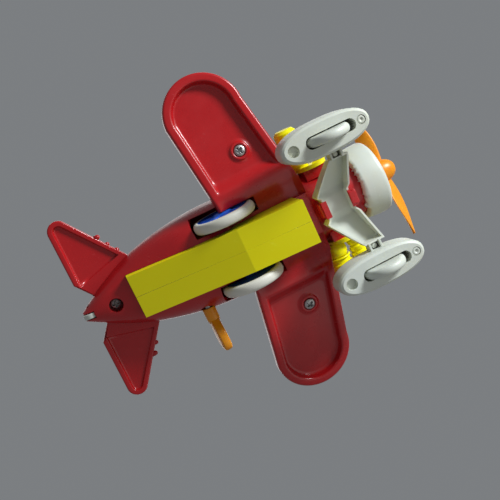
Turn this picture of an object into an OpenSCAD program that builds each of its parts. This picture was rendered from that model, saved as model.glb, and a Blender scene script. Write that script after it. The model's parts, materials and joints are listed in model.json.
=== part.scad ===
// Clockwork toy biplane, standing nose-up on its wheels.
// Every piece is drawn in the axes of the aeroplane: X forward along the
// propeller shaft, Y to the port side, Z up. airframe() then stands it on
// its wheels, so that Z = 0 is the table.

/* [Fuselage] */
// Half width of the fuselage at its widest
body_half_w = 25; // [24:0.5:30]
// Height of the back above the shaft line
body_top_z = 21.5; // [20:0.5:27]
// Depth of the belly below the shaft line
belly_z = 19; // [17:0.5:20]
// Radius of the round nose
nose_r = 15; // [13:0.5:16]
// Where the nose ends, ahead of the wing screws
nose_x = 56; // [54:0.5:60]
// Where the tail ends
tail_x = -102; // [-106:0.5:-100]
// Wall of the fuselage shells
shell_wall = 2; // [1.6:0.1:2.4]

/* [Wings] */
// Half span of the lower wing
wing_half_span = 85.8; // [70:0.2:103]
// Leading edge of the lower wing at its root
wing_le_x = 19.8; // [18:0.2:21]
// Trailing edge of the lower wing at its root
wing_te_x = -22.4; // [-25:0.2:-20]
// Thickness of the lower wing
wing_t = 6; // [5:0.2:7.2]
// Width of the rim round the recess under the wing
wing_rim = 4.6; // [3.5:0.1:5.5]
// Dihedral of the lower wing, in degrees
wing_dihedral = 10; // [6:0.5:12]
// Spanwise place of the wing screws and the interplane struts
screw_y = 43; // [38:0.5:48]
// Half span of the upper wing
upper_half_span = 76; // [63:0.5:91]
// Underside of the upper wing above the shaft line
upper_z = 38; // [34:0.5:45]
// Thickness of the upper wing
upper_t = 5; // [4:0.2:6]

/* [Tail] */
// Half span of the tailplane
tail_half_span = 48.6; // [40:0.5:58]
// Thickness of the tailplane
tailplane_t = 3; // [2.6:0.1:3.6]
// Height of the top of the fin above the shaft line
fin_top_z = 39; // [33:0.5:46]
// Thickness of the fin
fin_t = 3.2; // [2.6:0.1:3.8]
// Radius of the tail roller
roller_r = 4.2; // [3.5:0.1:5]
// Width of the tail roller
roller_w = 2.5; // [2:0.1:3]

/* [Main wheels] */
// Radius of the main wheels over the tyres
main_r = 15.9; // [13.3:0.1:16.5]
// Width of the tyres
main_w = 5.2; // [4.4:0.1:5.6]
// Distance from the centre plane to the middle of each main wheel
main_y = 16.8; // [16.4:0.1:17.2]
// Axle diameter
axle_d = 3; // [2.5:0.1:3.6]

/* [Landing gear] */
// Radius of the front wheels
front_r = 10.6; // [8.9:0.1:11.2]
// Width of the front wheels
front_w = 4.6; // [3.8:0.1:5]
// Distance from the centre plane to the middle of each wheel fairing
spat_y = 33.6; // [32:0.2:40]
// Length of a wheel fairing
spat_len = 45.6; // [43:0.2:48]
// Width of a wheel fairing
spat_w = 16.8; // [15:0.2:18]
// Height of a wheel fairing
spat_h = 17; // [16:0.2:20]
// Droop of the undercarriage legs, in degrees
leg_droop = 30; // [27:0.5:33]

/* [Propeller] */
// Radius of the propeller
prop_r = 36.5; // [30:0.5:42]
// Pitch of the blades, in degrees
prop_pitch = 22; // [12:1:26]
// Tip of the spinner
spinner_x = 72.4; // [70:0.2:78]
// Outer radius of the cowl ring
cowl_r = 19; // [18:0.2:22]

/* [Clockwork] */
// Half width of the gearbox
box_half_w = 11; // [10:0.2:11.6]
// Wall of the gearbox
box_wall = 1.8; // [1.4:0.1:2.2]
// Width of the gears
gear_w = 3; // [2:0.1:3.6]
// Length of the key outside the fuselage
key_len = 22.3; // [19:0.1:26]

/* [Clearances] */
// Radial clearance of a shaft that turns in its hole
running = 0.06; // [0.03:0.01:0.1]
// Gap round a piece that is let into another
fit_gap = 0.15; // [0.1:0.01:0.3]
// Gap between moving pieces
moving_gap = 0.5; // [0.3:0.05:0.8]

/* [Hidden] */
$fn = 48;

red = [0.72, 0.04, 0.06];
cream = [0.86, 0.87, 0.80];
yellow = [0.92, 0.84, 0.05];
amber = [0.95, 0.55, 0.04];
blue = [0.05, 0.25, 0.75];
steel = [0.75, 0.75, 0.75];
past = 1;            // how far a cut runs past the face it opens

// Wheels, which also set how the toy stands
main_x = -20.8;
main_z = -12.4;
spat_bottom_z = -42;
front_x = 34.3;
front_z = spat_bottom_z + 2.4;
wheel_span = norm([front_x - main_x, front_z - main_z]);
stand_pitch = atan2(main_z - front_z, front_x - main_x)
            - asin((main_r - front_r) / wheel_span);
ground = sin(stand_pitch) * main_x + cos(stand_pitch) * main_z - main_r;
roller_x = tail_x + 3.7;
roller_z = (ground + roller_r - sin(stand_pitch) * roller_x) / cos(stand_pitch);

// Fin, whose rounded top is the rearmost point when the toy stands
fin_round = 5;
fin_tip_x = -91;
fin_tip_z = fin_top_z - fin_round;
front_reach = cos(stand_pitch) * spinner_x;
rear_reach = cos(stand_pitch) * fin_tip_x - sin(stand_pitch) * fin_tip_z - fin_round;
stand_x = -(front_reach + rear_reach) / 2;

cowl_x0 = 47.5;      // rear edge of the cowl ring

// Fuselage stations from nose to tail:
// [x, half width, belly, back, roundness exponent]
stations = [
    [nose_x, nose_r, -nose_r, nose_r, 2],
    [cowl_x0 - 1, nose_r, -nose_r, nose_r, 2],
    [36, nose_r + 1.4, -nose_r - 1, nose_r + 2, 2.1],
    [20, nose_r + 4, -17.2, body_top_z - 2.3, 2.3],
    [-8, body_half_w - 1, -belly_z - 0.3, body_top_z, 2.4],
    [-28, body_half_w, -belly_z, body_top_z, 2.4],
    [-45, body_half_w - 1.2, -belly_z + 3.5, body_top_z - 2, 2.4],
    [-60, body_half_w - 3.8, -9.5, body_top_z - 4.5, 2.3],
    [-75, 16.8, -4.5, 14.5, 2.2],
    [-90, 9.6, -2.2, 12.5, 2.1],
    [tail_x, 2.4, 2.8, 10.2, 2]
];
tailplane_z = 6.9;   // underside of the tailplane, level with the seam there
seam_flat_x = -66;   // aft of this the seam is level
ring_step = 6;       // spacing of the fuselage rings
ring_n = 16;         // facets in each half ring

// Lower wing
root_y = 20;         // where the panels leave the centre section
cabane_y = 9;
cabane_foot_z = body_top_z + 1;
strut_t = 3.2;
strut_bar = 3.2;     // width of the posts and bars of a strut frame
tip_round = 5.4;     // corner radius of the tailplane's tips
wing_z = -17.2;      // underside of the centre section
le_sweep = 0.17;
te_sweep = 0.1175;
recess_root_y = 30;
recess_depth = wing_t - 1.8;
boss_r = 4.6;
boss_h = 1.1;        // how far a screw boss stands below the recess floor

// Upper wing
upper_le_x = 27;
upper_te_x = -10;
upper_sweep = 0.14;

// Screws
screw_r = 1.4;
head_r = 2.9;
head_h = 1.7;
tail_screw_x = -85.5;
tail_screw_z = 0.4;
tail_screw_len = 11.8;
tail_boss_r = 4.6;
tail_boss_h = 2.6;   // height of the boss in the upper shell

// Undercarriage
leg_apex_z = -25.5;
leg_t = 6;
leg_wall = 1.4;
leg_len = 20.5;      // length of a leg along its slope
leg_root_y = 5;      // half width of the level middle of the channel
leg_end_x0 = 30.4;
leg_end_x1 = 41.4;
leg_mid_x0 = 23.2;   // rear face of the channel between the hooks
leg_mid_x1 = 37.4;   // front face of the channel between the hooks
hook_half_w = 4.2;
hook_t = 1.3;
hook_lip = 1.3;
tongue_x0 = 33.5;
tongue_x1 = 38.5;
tongue_z = spat_bottom_z + 8.6;
spat_x = 32.8;       // middle of a fairing
spat_roof_h = 6;     // height of the tapered roof
slot_len = 25.4;
slot_w = front_w + 2.6 * moving_gap;
peg_x = 50.9;
peg_r = 2.15;
dimple_x = 16;
dimple_r = 2.6;
front_axle_r = 1;
hook_rear_x0 = leg_mid_x0 - fit_gap - hook_t;
hook_front_x1 = leg_mid_x1 + fit_gap + hook_t;

// Engine
pad_y = nose_r + 4.2;
pad_x = 30;
engine_z = -6;
flange_r = 8;
flange_t = 2;
jug_x = 24.5;
jug_r = 5.7;
front_jug_x = 35.6;
front_jug_r = 4.5;
engine_peg_r = 3;

// Cowl and propeller
cowl_x1 = 60.4;
lip = 2.6;           // radius of the cowl ring's front lip
shaft_r = 1.5;
bearing_r = 4;
prop_x = 64;
spinner_r = 6.3;
prop_rest = -22;     // how far the blades are turned from level
spinner_back_x = cowl_x1 + 0.9;

// Cockpit
cockpit_x = -16;
cockpit_len = 22;
cockpit_w = 17;
cockpit_floor_z = 11.2;
screen_x = cockpit_x + cockpit_len / 2 + 2.2;

// Clockwork
box_front_x = 13;
box_rear_x = -75.3;
box_bend_x = -20;
box_bend_z = -26.8;
box_profile = [
    [box_rear_x, -8], [box_bend_x, box_bend_z], [box_front_x, -33],
    [box_front_x, -9], [-33, 10.4], [-62, 10.4], [box_rear_x, -2]
];
axle_r = axle_d / 2;
hub_r = main_r - 2.5; // where the tyre sits on the hub
key_x = -46;
key_z = -3.4;
winding_r = 1.6;
key_stem_r = 3.4;
idler_pin_r = 1.2;
winding_teeth = 26;
idler_teeth = 16;
pinion_teeth = 10;
// Place of the idler: it meshes with the gears on both sides of it
train_dx = main_x - key_x;
train_dz = main_z - key_z;
train_d = norm([train_dx, train_dz]);
gear_m = train_d / 33.45;
reach_a = gear_m * (winding_teeth + idler_teeth) / 2;
reach_b = gear_m * (idler_teeth + pinion_teeth) / 2;
train_along = (reach_a * reach_a - reach_b * reach_b + train_d * train_d) / (2 * train_d);
train_side = sqrt(reach_a * reach_a - train_along * train_along);
idler_x = key_x + (train_along * train_dx - train_side * train_dz) / train_d;
idler_z = key_z + (train_along * train_dz + train_side * train_dx) / train_d;
angle_a = atan2(idler_z - key_z, idler_x - key_x);
angle_b = atan2(main_z - idler_z, main_x - idler_x);
idler_pitch = 360 / idler_teeth;
idler_phase = angle_a + 180 + idler_pitch / 2;
idler_lead = (angle_b - idler_phase) / idler_pitch;
pinion_phase = angle_b + 180 + (idler_lead + 0.5) * 360 / pinion_teeth;

// ---- Shapes ----------------------------------------------------------

function arc(x, y, r, a0, a1, n) =
    [for (i = [0:n]) let (a = a0 + (a1 - a0) * i / n) [x + r * cos(a), y + r * sin(a)]];

function spow(v, e) = sign(v) * pow(abs(v), e);

// An oval whose corners fill out as the exponents rise
function oval(cx, cy, a, b, ea, eb, n) =
    [for (i = [0:n - 1]) let (t = 360 * i / n)
        [cx + a * spow(cos(t), 2 / ea), cy + b * spow(sin(t), 2 / eb)]];

// Smooth reading of column k of the station list at x
function station_at(x, i = 0) =
    (i >= len(stations) - 2 || x >= stations[i + 1][0]) ? i : station_at(x, i + 1);
function slope(i, k) = let (a = max(i - 1, 0), b = min(i + 1, len(stations) - 1))
    (stations[b][k] - stations[a][k]) / (stations[b][0] - stations[a][0]);
function body(x, k) = let (
    i = station_at(x), p = stations[i], q = stations[i + 1],
    h = q[0] - p[0], u = (x - p[0]) / h)
    p[k] * (1 + 2 * u) * pow(1 - u, 2) + slope(i, k) * h * u * pow(1 - u, 2)
    + q[k] * u * u * (3 - 2 * u) + slope(i + 1, k) * h * u * u * (u - 1);

function seam_z(x) =
    tailplane_z * min(1, max(0, (cowl_x0 - 1 - x) / (cowl_x0 - 1 - seam_flat_x)));

// Half of the fuselage section at x, pulled in by d; side is 1 for the back, -1 for the belly
function half_ring(x, side, d) = let (
    w = body(x, 1) - d, s = seam_z(x), e = 2 / body(x, 4),
    h = abs(body(x, side > 0 ? 3 : 2) - s) - d)
    [for (i = [0:ring_n]) let (t = 180 * i / ring_n)
        [x, -side * w * spow(cos(t), e), s + side * h * spow(sin(t), e)]];

function shell_ring(x, side) = concat(
    half_ring(x, side, 0),
    [for (p = [0:ring_n]) half_ring(x, side, shell_wall)[ring_n - p]]);

ring_count = ceil((nose_x - tail_x) / ring_step);
ring_x = [for (i = [0:ring_count]) nose_x + (tail_x - nose_x) * i / ring_count];

// A closed skin through rings of equal length, which run round a shell with its outer
// half first, or round a solid section
module loft(rings) {
    n = len(rings[0]);
    last = (len(rings) - 1) * n;
    half = n / 2;
    polyhedron(
        points = [for (r = rings, p = r) p],
        faces = concat(
            [for (k = [0:len(rings) - 2], i = [0:n - 1]) each
                let (a = k * n + i, b = k * n + (i + 1) % n)
                [[b, a, a + n], [b, a + n, b + n]]],
            [for (i = [0:half - 2], base = [0, last]) each
                let (a = base + i, b = base + n - 1 - i)
                base == 0 ? [[a, a + 1, b - 1], [a, b - 1, b]]
                          : [[a + 1, a, b - 1], [b - 1, a, b]]]),
        convexity = 6);
}

module airframe() {
    translate([stand_x, 0, -ground]) rotate([0, -stand_pitch, 0]) children();
}

module on_side(side) {
    if (side > 0) children();
    else mirror([0, 1, 0]) children();
}

// A cylinder along Y, from y0 to y1
module rod_y(x, z, r, y0, y1) {
    translate([x, y0, z]) rotate([-90, 0, 0]) cylinder(r = r, h = y1 - y0);
}

// A shape of revolution about the line of the propeller shaft; the outline is [radius, x]
module turned_x(outline) {
    rotate([0, 90, 0]) rotate_extrude($fn = 72) polygon(outline);
}

// A shape of revolution about a line along Y; the outline is [radius, y]
module turned_y(x, z, outline) {
    translate([x, 0, z]) rotate([-90, 0, 0]) rotate_extrude() polygon(outline);
}

// A plate drawn in the X-Z plane, from y0 to y1
module plate_y(outline, y0, y1) {
    translate([0, y1, 0]) rotate([90, 0, 0]) linear_extrude(y1 - y0) polygon(outline);
}

module box(x0, x1, y0, y1, z0, z1) {
    translate([x0, y0, z0]) cube([x1 - x0, y1 - y0, z1 - z0]);
}

// Round-ended wing panel, from its root at y0 to its tip, drawn in by d
function panel_outline(le, te, ls, ts, tip, y0, d) = let (
    k = ls - ts,
    r = (le - te - 2 * d - k * (tip - d - y0)) / (2 - k),
    yc = tip - d - r,
    xc = (le + te - (ls + ts) * (yc - y0)) / 2)
    concat([[te + d, y0], [le - d, y0]], arc(xc, yc, r, 0, 180, 28));

module lower_panel_outline(d) {
    polygon(panel_outline(wing_le_x, wing_te_x, le_sweep, te_sweep, wing_half_span, root_y, d));
}

// Moves to the axes of a lower wing panel, where Z = 0 is its underside
module panel_axes() {
    translate([0, root_y, wing_z]) rotate([wing_dihedral, 0, 0]) translate([0, -root_y, 0])
        children();
}

module screw(len) {
    difference() {
        union() {
            cylinder(r = screw_r, h = len);
            translate([0, 0, -head_h]) cylinder(r1 = head_r - 0.5, r2 = head_r, h = 0.6);
            translate([0, 0, 0.6 - head_h]) cylinder(r = head_r, h = head_h - 0.6);
        }
        for (a = [0, 90]) rotate(a)
            translate([-1.7, -0.35, -head_h - past]) cube([3.4, 0.7, past + 1]);
    }
}

// ---- Fuselage --------------------------------------------------------

module wing_envelope() {
    box(wing_te_x - fit_gap, wing_le_x + fit_gap, -root_y - 0.4, root_y + 0.4,
        wing_z - 9, wing_z + wing_t);
    for (side = [1, -1]) on_side(side) panel_axes()
        box(wing_te_x - 4, wing_le_x + fit_gap, root_y - past, root_y + 14, -past, wing_t);
}

module wheel_well_cuts() {
    for (side = [1, -1]) on_side(side)
        rod_y(main_x, main_z, main_r + 2 * moving_gap, main_y - main_w / 2 - 1.2,
              main_y + main_w / 2 + 3);
}

module gearbox_cut() {
    box(box_rear_x - fit_gap, box_front_x + fit_gap,
        -box_half_w - fit_gap, box_half_w + fit_gap, -60, 0);
}

module roller_cut() {
    w = roller_w / 2 + moving_gap;
    rod_y(roller_x, roller_z, roller_r + 0.8, -w, w);
    box(tail_x - 5, roller_x, -w, w, roller_z - 12, roller_z);
}

// A hook under the nose that grips the edge of the undercarriage channel
module gear_hook(x0, x1, lip_x0, lip_x1) {
    box(x0, x1, -hook_half_w, hook_half_w, leg_apex_z - hook_lip, -12);
    box(lip_x0, lip_x1, -hook_half_w, hook_half_w,
        leg_apex_z - hook_lip, leg_apex_z - fit_gap);
}

module fuselage_bottom() {
    color(red) airframe() difference() {
        union() {
            loft([for (x = ring_x) shell_ring(x, -1)]);
            translate([tail_screw_x, 0, tail_screw_z - 0.4])
                cylinder(r = tail_boss_r, h = tailplane_z - tail_screw_z + 0.4);
            for (side = [1, -1]) on_side(side)
                box(pad_x - 6, pad_x + 6, nose_r - 1, pad_y, engine_z - 6, engine_z + 6);
            gear_hook(hook_rear_x0, leg_mid_x0 - fit_gap, hook_rear_x0, leg_mid_x0 + hook_lip);
            gear_hook(leg_mid_x1 + fit_gap, hook_front_x1, leg_mid_x1 - hook_lip, hook_front_x1);
        }
        wing_envelope();
        wheel_well_cuts();
        gearbox_cut();
        roller_cut();
        translate([tail_screw_x, 0, tail_screw_z - 8]) cylinder(r = 3.1, h = 8);
        translate([tail_screw_x, 0, tail_screw_z - past]) cylinder(r = screw_r + 0.05, h = 20);
        for (side = [1, -1]) on_side(side)
            rod_y(pad_x, engine_z, engine_peg_r + 0.05, 5, pad_y + past);
        rod_y(key_x, key_z, key_stem_r + moving_gap, box_half_w, body_half_w + 5);
        rod_y(roller_x, roller_z, 1, -10, 10);
    }
}

module tail_cut() {
    translate([0, 0, tailplane_z - past]) linear_extrude(tailplane_t + past)
        tailplane_outline();
}

module fuselage_top() {
    pad_top = body_top_z + 1;
    color(red) airframe() difference() {
        union() {
            difference() {
                loft([for (x = ring_x) shell_ring(x, 1)]);
                translate([cockpit_x, 0, 0]) linear_extrude(60)
                    cockpit_outline(0);
            }
            translate([tail_screw_x, 0, tailplane_z + tailplane_t])
                cylinder(r = tail_boss_r, h = tail_boss_h);
            for (side = [1, -1]) on_side(side)
                box(-1, 19, cabane_y - 2.6, cabane_y + 2.6, seam_z(10) + 9, cabane_foot_z);
        }
        tail_cut();
        translate([tail_screw_x, 0, 0]) cylinder(r = screw_r + 0.05, h = 13);
        plate_y(fin_outline(), -fin_t / 2, fin_t / 2);
        roller_cut();
        windscreen_shape(fit_gap / 2);
    }
}

// ---- Wings -----------------------------------------------------------

module lower_panel() {
    panel_axes() difference() {
        union() {
            difference() {
                linear_extrude(wing_t) lower_panel_outline(0);
                translate([0, 0, -past]) linear_extrude(recess_depth + past) intersection() {
                    lower_panel_outline(wing_rim);
                    translate([-50, recess_root_y]) square([100, wing_half_span]);
                }
            }
            translate([0, screw_y, recess_depth - boss_h]) cylinder(r = boss_r, h = boss_h + 0.5);
        }
        translate([0, screw_y, 0]) cylinder(r = screw_r + 0.05, h = wing_t + past);
    }
}

module lower_wing() {
    color(red) airframe() difference() {
        union() {
            box(wing_te_x, wing_le_x, -root_y - 0.4, root_y + 0.4, wing_z, wing_z + wing_t);
            for (side = [1, -1]) on_side(side) lower_panel();
        }
        gearbox_cut();
        wheel_well_cuts();
        rod_y(main_x, main_z, axle_r + moving_gap, -root_y, root_y);
    }
}

module upper_wing() {
    color(red) airframe() translate([0, 0, upper_z]) difference() {
        union() for (side = [1, -1]) on_side(side) linear_extrude(upper_t)
            polygon(panel_outline(upper_le_x, upper_te_x, upper_sweep, upper_sweep * 0.6,
                                  upper_half_span, 0, 0));
        for (side = [1, -1]) on_side(side) {
            translate([0, 0, -past]) linear_extrude(past + upper_t - 2) intersection() {
                polygon(panel_outline(upper_le_x, upper_te_x, upper_sweep, upper_sweep * 0.6,
                                      upper_half_span, 0, wing_rim));
                translate([-50, cabane_y + 5]) square([100, upper_half_span]);
            }
        }
    }
}

// ---- Struts between the wings ----------------------------------------

// A strut frame in the X-Z plane: two posts and two bars round a window
module strut_frame(x0, x1, z0, z1, lean) {
    b = strut_bar;
    difference() {
        plate_y([[x0, z0], [x1, z0], [x1 + lean, z1], [x0 + lean, z1]], -strut_t / 2, strut_t / 2);
        plate_y([[x0 + b, z0 + b], [x1 - b, z0 + b], [x1 - b + lean, z1 - b],
                 [x0 + b + lean, z1 - b]], -strut_t, strut_t);
    }
}

module cabane(side) {
    color(cream) airframe() on_side(side)
        translate([0, cabane_y, 0]) strut_frame(0, 16, cabane_foot_z, upper_z, 1.6);
}

module cabane_left() { cabane(1); }
module cabane_right() { cabane(-1); }

module interplane(side) {
    foot_z = wing_z + wing_t + (screw_y - root_y) * sin(wing_dihedral);
    color(cream) airframe() on_side(side) difference() {
        union() {
            translate([0, screw_y, 0]) strut_frame(-8, 8, foot_z - 2, upper_z + upper_t - 2, 4);
            panel_axes() translate([0, screw_y, wing_t]) cylinder(r = 3.6, h = 8);
        }
        panel_axes() box(-20, 20, root_y + 5, wing_half_span, -past, wing_t);
        panel_axes() translate([0, screw_y, 0]) cylinder(r = screw_r + 0.05, h = 13.5);
    }
}

module interplane_left() { interplane(1); }
module interplane_right() { interplane(-1); }

// ---- Tail ------------------------------------------------------------

function tail_side(d) = concat(
    [[-69.5 - d, 18]],
    arc(-94.6, tail_half_span - tip_round, tip_round - d, 42, 180, 12),
    [[-100 + d, 16], [-94 + d, 8]]);

module tailplane_outline() {
    side = tail_side(0);
    last = len(side) - 1;
    polygon(concat(side, [for (i = [last:-1:0]) [side[i][0], -side[i][1]]]));
}

module tailplane() {
    color(red) airframe() translate([0, 0, tailplane_z]) difference() {
        linear_extrude(tailplane_t) tailplane_outline();
        for (side = [1, -1]) on_side(side)
            translate([0, 0, -past]) linear_extrude(past + tailplane_t - 1.4) intersection() {
                polygon(tail_side(2.6));
                polygon([[-60, 24], [-101, 12.6], [-101, 70], [-60, 70]]);
            }
        translate([tail_screw_x, 0, -past]) cylinder(r = screw_r + 0.05, h = 10);
    }
}

// Side view of the fin, with a notch over the tail screw's boss
function fin_outline() = let (
    z = tailplane_z + tailplane_t, nz = z + tail_boss_h + 0.1, b = tail_boss_r + 0.3,
    rz = max(z + 1.3, roller_z + roller_r + 1.6))
    concat([[-74.5, z]],
        arc(fin_tip_x, fin_tip_z, fin_round, 20, 170, 14),
        [[-98.5, rz], [-94, rz], [-94, z], [tail_screw_x - b, z],
         [tail_screw_x - b, nz], [tail_screw_x + b, nz], [tail_screw_x + b, z]]);

module fin() {
    color(red) airframe() plate_y(fin_outline(), -fin_t / 2, fin_t / 2);
}

module tail_roller() {
    color(cream) airframe() difference() {
        rod_y(roller_x, roller_z, roller_r, -roller_w / 2, roller_w / 2);
        rod_y(roller_x, roller_z, 1 + running, -10, 10);
    }
}

module roller_pin() {
    color(steel) airframe() rod_y(roller_x, roller_z, 1, -3.4, 3.4);
}

// ---- Cockpit ---------------------------------------------------------

module cockpit_outline(d) {
    polygon(oval(0, 0, cockpit_len / 2 - d, cockpit_w / 2 - d, 3, 3, 40));
}

module cockpit_tub() {
    rim = 1.4;
    color(cream) airframe() translate([cockpit_x, 0, cockpit_floor_z]) {
        difference() {
            linear_extrude(body_top_z - cockpit_floor_z - 3) cockpit_outline(fit_gap);
            translate([0, 0, rim]) linear_extrude(30) cockpit_outline(rim);
        }
        box(-cockpit_len / 2 + 1.2, -cockpit_len / 2 + 7, -5, 5, rim - 0.1, 5);
    }
}

// A bowed sheet ahead of the cockpit, grown by gap
module windscreen_shape(gap) {
    translate([screen_x, 0, 0]) linear_extrude(body_top_z + 6.5) difference() {
        translate([-7, 0]) circle(r = 10 + gap);
        translate([-7, 0]) circle(r = 8.6 - gap);
        translate([-42 - gap, -20]) square([40, 40]);
    }
}

module windscreen() {
    color([0.8, 0.9, 1, 0.4]) airframe() intersection() {
        windscreen_shape(0);
        box(screen_x - 20, screen_x + 20, -20, 20, body_top_z - 3.4, body_top_z + 7);
    }
}

// ---- Nose, engine and propeller --------------------------------------

module cowl_ring() {
    bore = nose_r + 0.1;
    color(cream) airframe() turned_x(concat(
        [[bore, cowl_x0], [cowl_r - 0.9, cowl_x0], [cowl_r - 0.2, cowl_x1 - 7]],
        [for (a = [0:15:90]) [cowl_r - lip + lip * cos(a), cowl_x1 - lip + lip * sin(a)]],
        [[cowl_r - lip - 0.8, cowl_x1 - 0.5], [cowl_r - lip - 0.8, cowl_x1 - 2],
         [cowl_r - 2.4, cowl_x1 - 5], [cowl_r - 2.4, cowl_x0 + 2], [bore, cowl_x0 + 2]]));
}

module nose_plate() {
    inner = nose_r - shell_wall - 0.1;
    color(yellow) airframe() difference() {
        turned_x([[0, nose_x - 6], [bearing_r, nose_x - 6], [bearing_r, nose_x - 2],
                  [inner, nose_x - 2], [inner, nose_x], [nose_r - 0.3, nose_x],
                  [nose_r - 0.3, nose_x + 1.2], [bearing_r, nose_x + 1.2],
                  [bearing_r, nose_x + 3], [0, nose_x + 3]]);
        translate([nose_x - 10, 0, 0]) rotate([0, 90, 0])
            cylinder(r = shaft_r + running, h = 20);
    }
}

module blade() {
    length = prop_r - 4;
    outline = concat(
        [[0, -3]],
        [for (i = [1:9]) [length * i / 10, -3 - 2.2 * sin(18 * i)]],
        arc(length - 3, 0, 3, -70, 70, 8),
        [for (i = [9:-1:1]) [length * i / 10, 3 + 2.2 * sin(18 * i)]],
        [[0, 3]]);
    translate([prop_x + 1, 4, 0]) rotate([0, prop_pitch, 0]) rotate([90, 0, 90])
        linear_extrude(2.4, center = true) polygon(outline);
}

module propeller() {
    dome = spinner_x - prop_x - 1.5;
    color(amber) airframe() difference() {
        union() {
            turned_x(concat([[0, spinner_back_x], [spinner_r - 0.6, spinner_back_x]],
                [for (a = [0:10:90]) [spinner_r * cos(a), prop_x + 1.5 + dome * sin(a)]]));
            for (turn = [0, 180]) rotate([turn + prop_rest, 0, 0]) blade();
        }
        translate([prop_x - 10, 0, 0]) rotate([0, 90, 0]) cylinder(r = shaft_r, h = 11);
    }
}

module prop_shaft() {
    color(steel) airframe() rotate([0, 90, 0]) {
        translate([0, 0, nose_x - 9]) cylinder(r = shaft_r, h = prop_x + 1 - nose_x + 9);
        translate([0, 0, nose_x - 8.3]) cylinder(r = 3, h = 2);
    }
}

// One grooved cylinder: a fat ball, a waist, a second barrel and a cap
module jug(x, r, y0, y1) {
    ball = (y1 - y0) * 0.38;
    turned_y(x, engine_z, concat(
        [[0, y0], [r * 0.75, y0]],
        [for (a = [-50:20:70]) [r * (0.55 + 0.45 * cos(a)), y0 + ball / 2 + ball / 2 * sin(a)]],
        [[r - 1, y0 + ball], [r - 0.3, y0 + ball + 0.8], [r - 0.3, y1 - 6.4], [r - 1, y1 - 5.8],
         [r, y1 - 5.2], [r, y1 - 1.6], [r - 1.4, y1], [0, y1]]));
}

module engine(side) {
    seat = pad_y + flange_t;
    color(yellow) airframe() on_side(side) union() {
        rod_y(pad_x, engine_z, engine_peg_r, pad_y - 4, pad_y + 1);
        rod_y(pad_x, engine_z, flange_r, pad_y, seat);
        jug(jug_x, jug_r, seat - 0.4, pad_y + 22.3);
        jug(front_jug_x, front_jug_r, seat - 0.4, pad_y + 16);
        translate([jug_x, pad_y + 14.5, engine_z - 4]) rotate([0, 90, 0])
            cylinder(r = 2.4, h = 15);
    }
}

module engine_left() { engine(1); }
module engine_right() { engine(-1); }

// ---- Gearbox and clockwork -------------------------------------------

function inset_profile(d) = [
    [box_profile[0][0] + d, box_profile[0][1] + d * 1.25],
    [box_profile[1][0], box_profile[1][1] + d * 1.06],
    [box_profile[2][0] - d, box_profile[2][1] + d * 1.27],
    [box_profile[3][0] - d, box_profile[3][1] - d * 0.65],
    [box_profile[4][0] - d * 0.2, box_profile[4][1] - d],
    [box_profile[5][0] + d * 0.4, box_profile[5][1] - d],
    [box_profile[6][0] + d, box_profile[6][1] - d * 0.4]
];

module gearbox_half(side) {
    color(yellow) airframe() on_side(side) difference() {
        union() {
            difference() {
                plate_y(box_profile, 0, box_half_w);
                plate_y(inset_profile(box_wall), -past, box_half_w - box_wall);
            }
            rod_y(idler_x, idler_z, 3, gear_w / 2 + 0.6, box_half_w - 0.5);
        }
        rod_y(main_x, main_z, axle_r + running, -past, box_half_w + past);
        rod_y(key_x, key_z, winding_r + running, -past, box_half_w + past);
        rod_y(idler_x, idler_z, idler_pin_r, -past, box_half_w - 1);
    }
}

module gearbox_left() { gearbox_half(1); }
module gearbox_right() { gearbox_half(-1); }

// Involute spur gear about the Z axis with a tooth on the X axis
function involute(rb, t) = [
    rb * (cos(t) + t * PI / 180 * sin(t)),
    rb * (sin(t) - t * PI / 180 * cos(t))];
function turned(p, a) = [p[0] * cos(a) - p[1] * sin(a), p[0] * sin(a) + p[1] * cos(a)];
function flank_angle(rb, r) = let (t = sqrt(max(0, pow(r / rb, 2) - 1)) * 180 / PI)
    t - atan(t * PI / 180);

function tooth(teeth, a) = let (
    rp = gear_m * teeth / 2, rb = rp * cos(20), ro = rp + gear_m * 0.92,
    rr = rp - gear_m * 1.2, play = 5.2 / teeth,
    half = 90 / teeth - play + flank_angle(rb, rp),
    tmax = sqrt(pow(ro / rb, 2) - 1) * 180 / PI,
    up = [for (i = [0:3]) involute(rb, tmax * i / 3)],
    side = concat([[rr, 0]], up))
    concat(
        [for (p = side) turned(p, a - half)],
        [for (i = [len(side) - 1:-1:0]) turned([side[i][0], -side[i][1]], a + half)]);

module spur(teeth, phase, bore) {
    difference() {
        linear_extrude(gear_w, center = true)
            polygon([for (i = [0:teeth - 1], p = tooth(teeth, phase + 360 * i / teeth)) p]);
        cylinder(r = bore, h = 2 * gear_w, center = true);
    }
}

// A gear about a line along Y; its phase is an angle in the X-Z plane
module gear_y(x, z, teeth, phase, bore) {
    translate([x, 0, z]) rotate([90, 0, 0]) spur(teeth, phase, bore);
}

module winding_gear() {
    color("goldenrod") airframe() gear_y(key_x, key_z, winding_teeth, angle_a, winding_r);
}

module idler_gear() {
    color("goldenrod") airframe()
        gear_y(idler_x, idler_z, idler_teeth, idler_phase, idler_pin_r + running);
}

module axle_pinion() {
    color("goldenrod") airframe()
        gear_y(main_x, main_z, pinion_teeth, pinion_phase, axle_r);
}

module idler_pin() {
    color(steel) airframe()
        rod_y(idler_x, idler_z, idler_pin_r, 1 - box_half_w, box_half_w - 1);
}

module winding_shaft() {
    color(steel) airframe()
        rod_y(key_x, key_z, winding_r, -box_half_w, body_half_w + 6);
}

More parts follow.
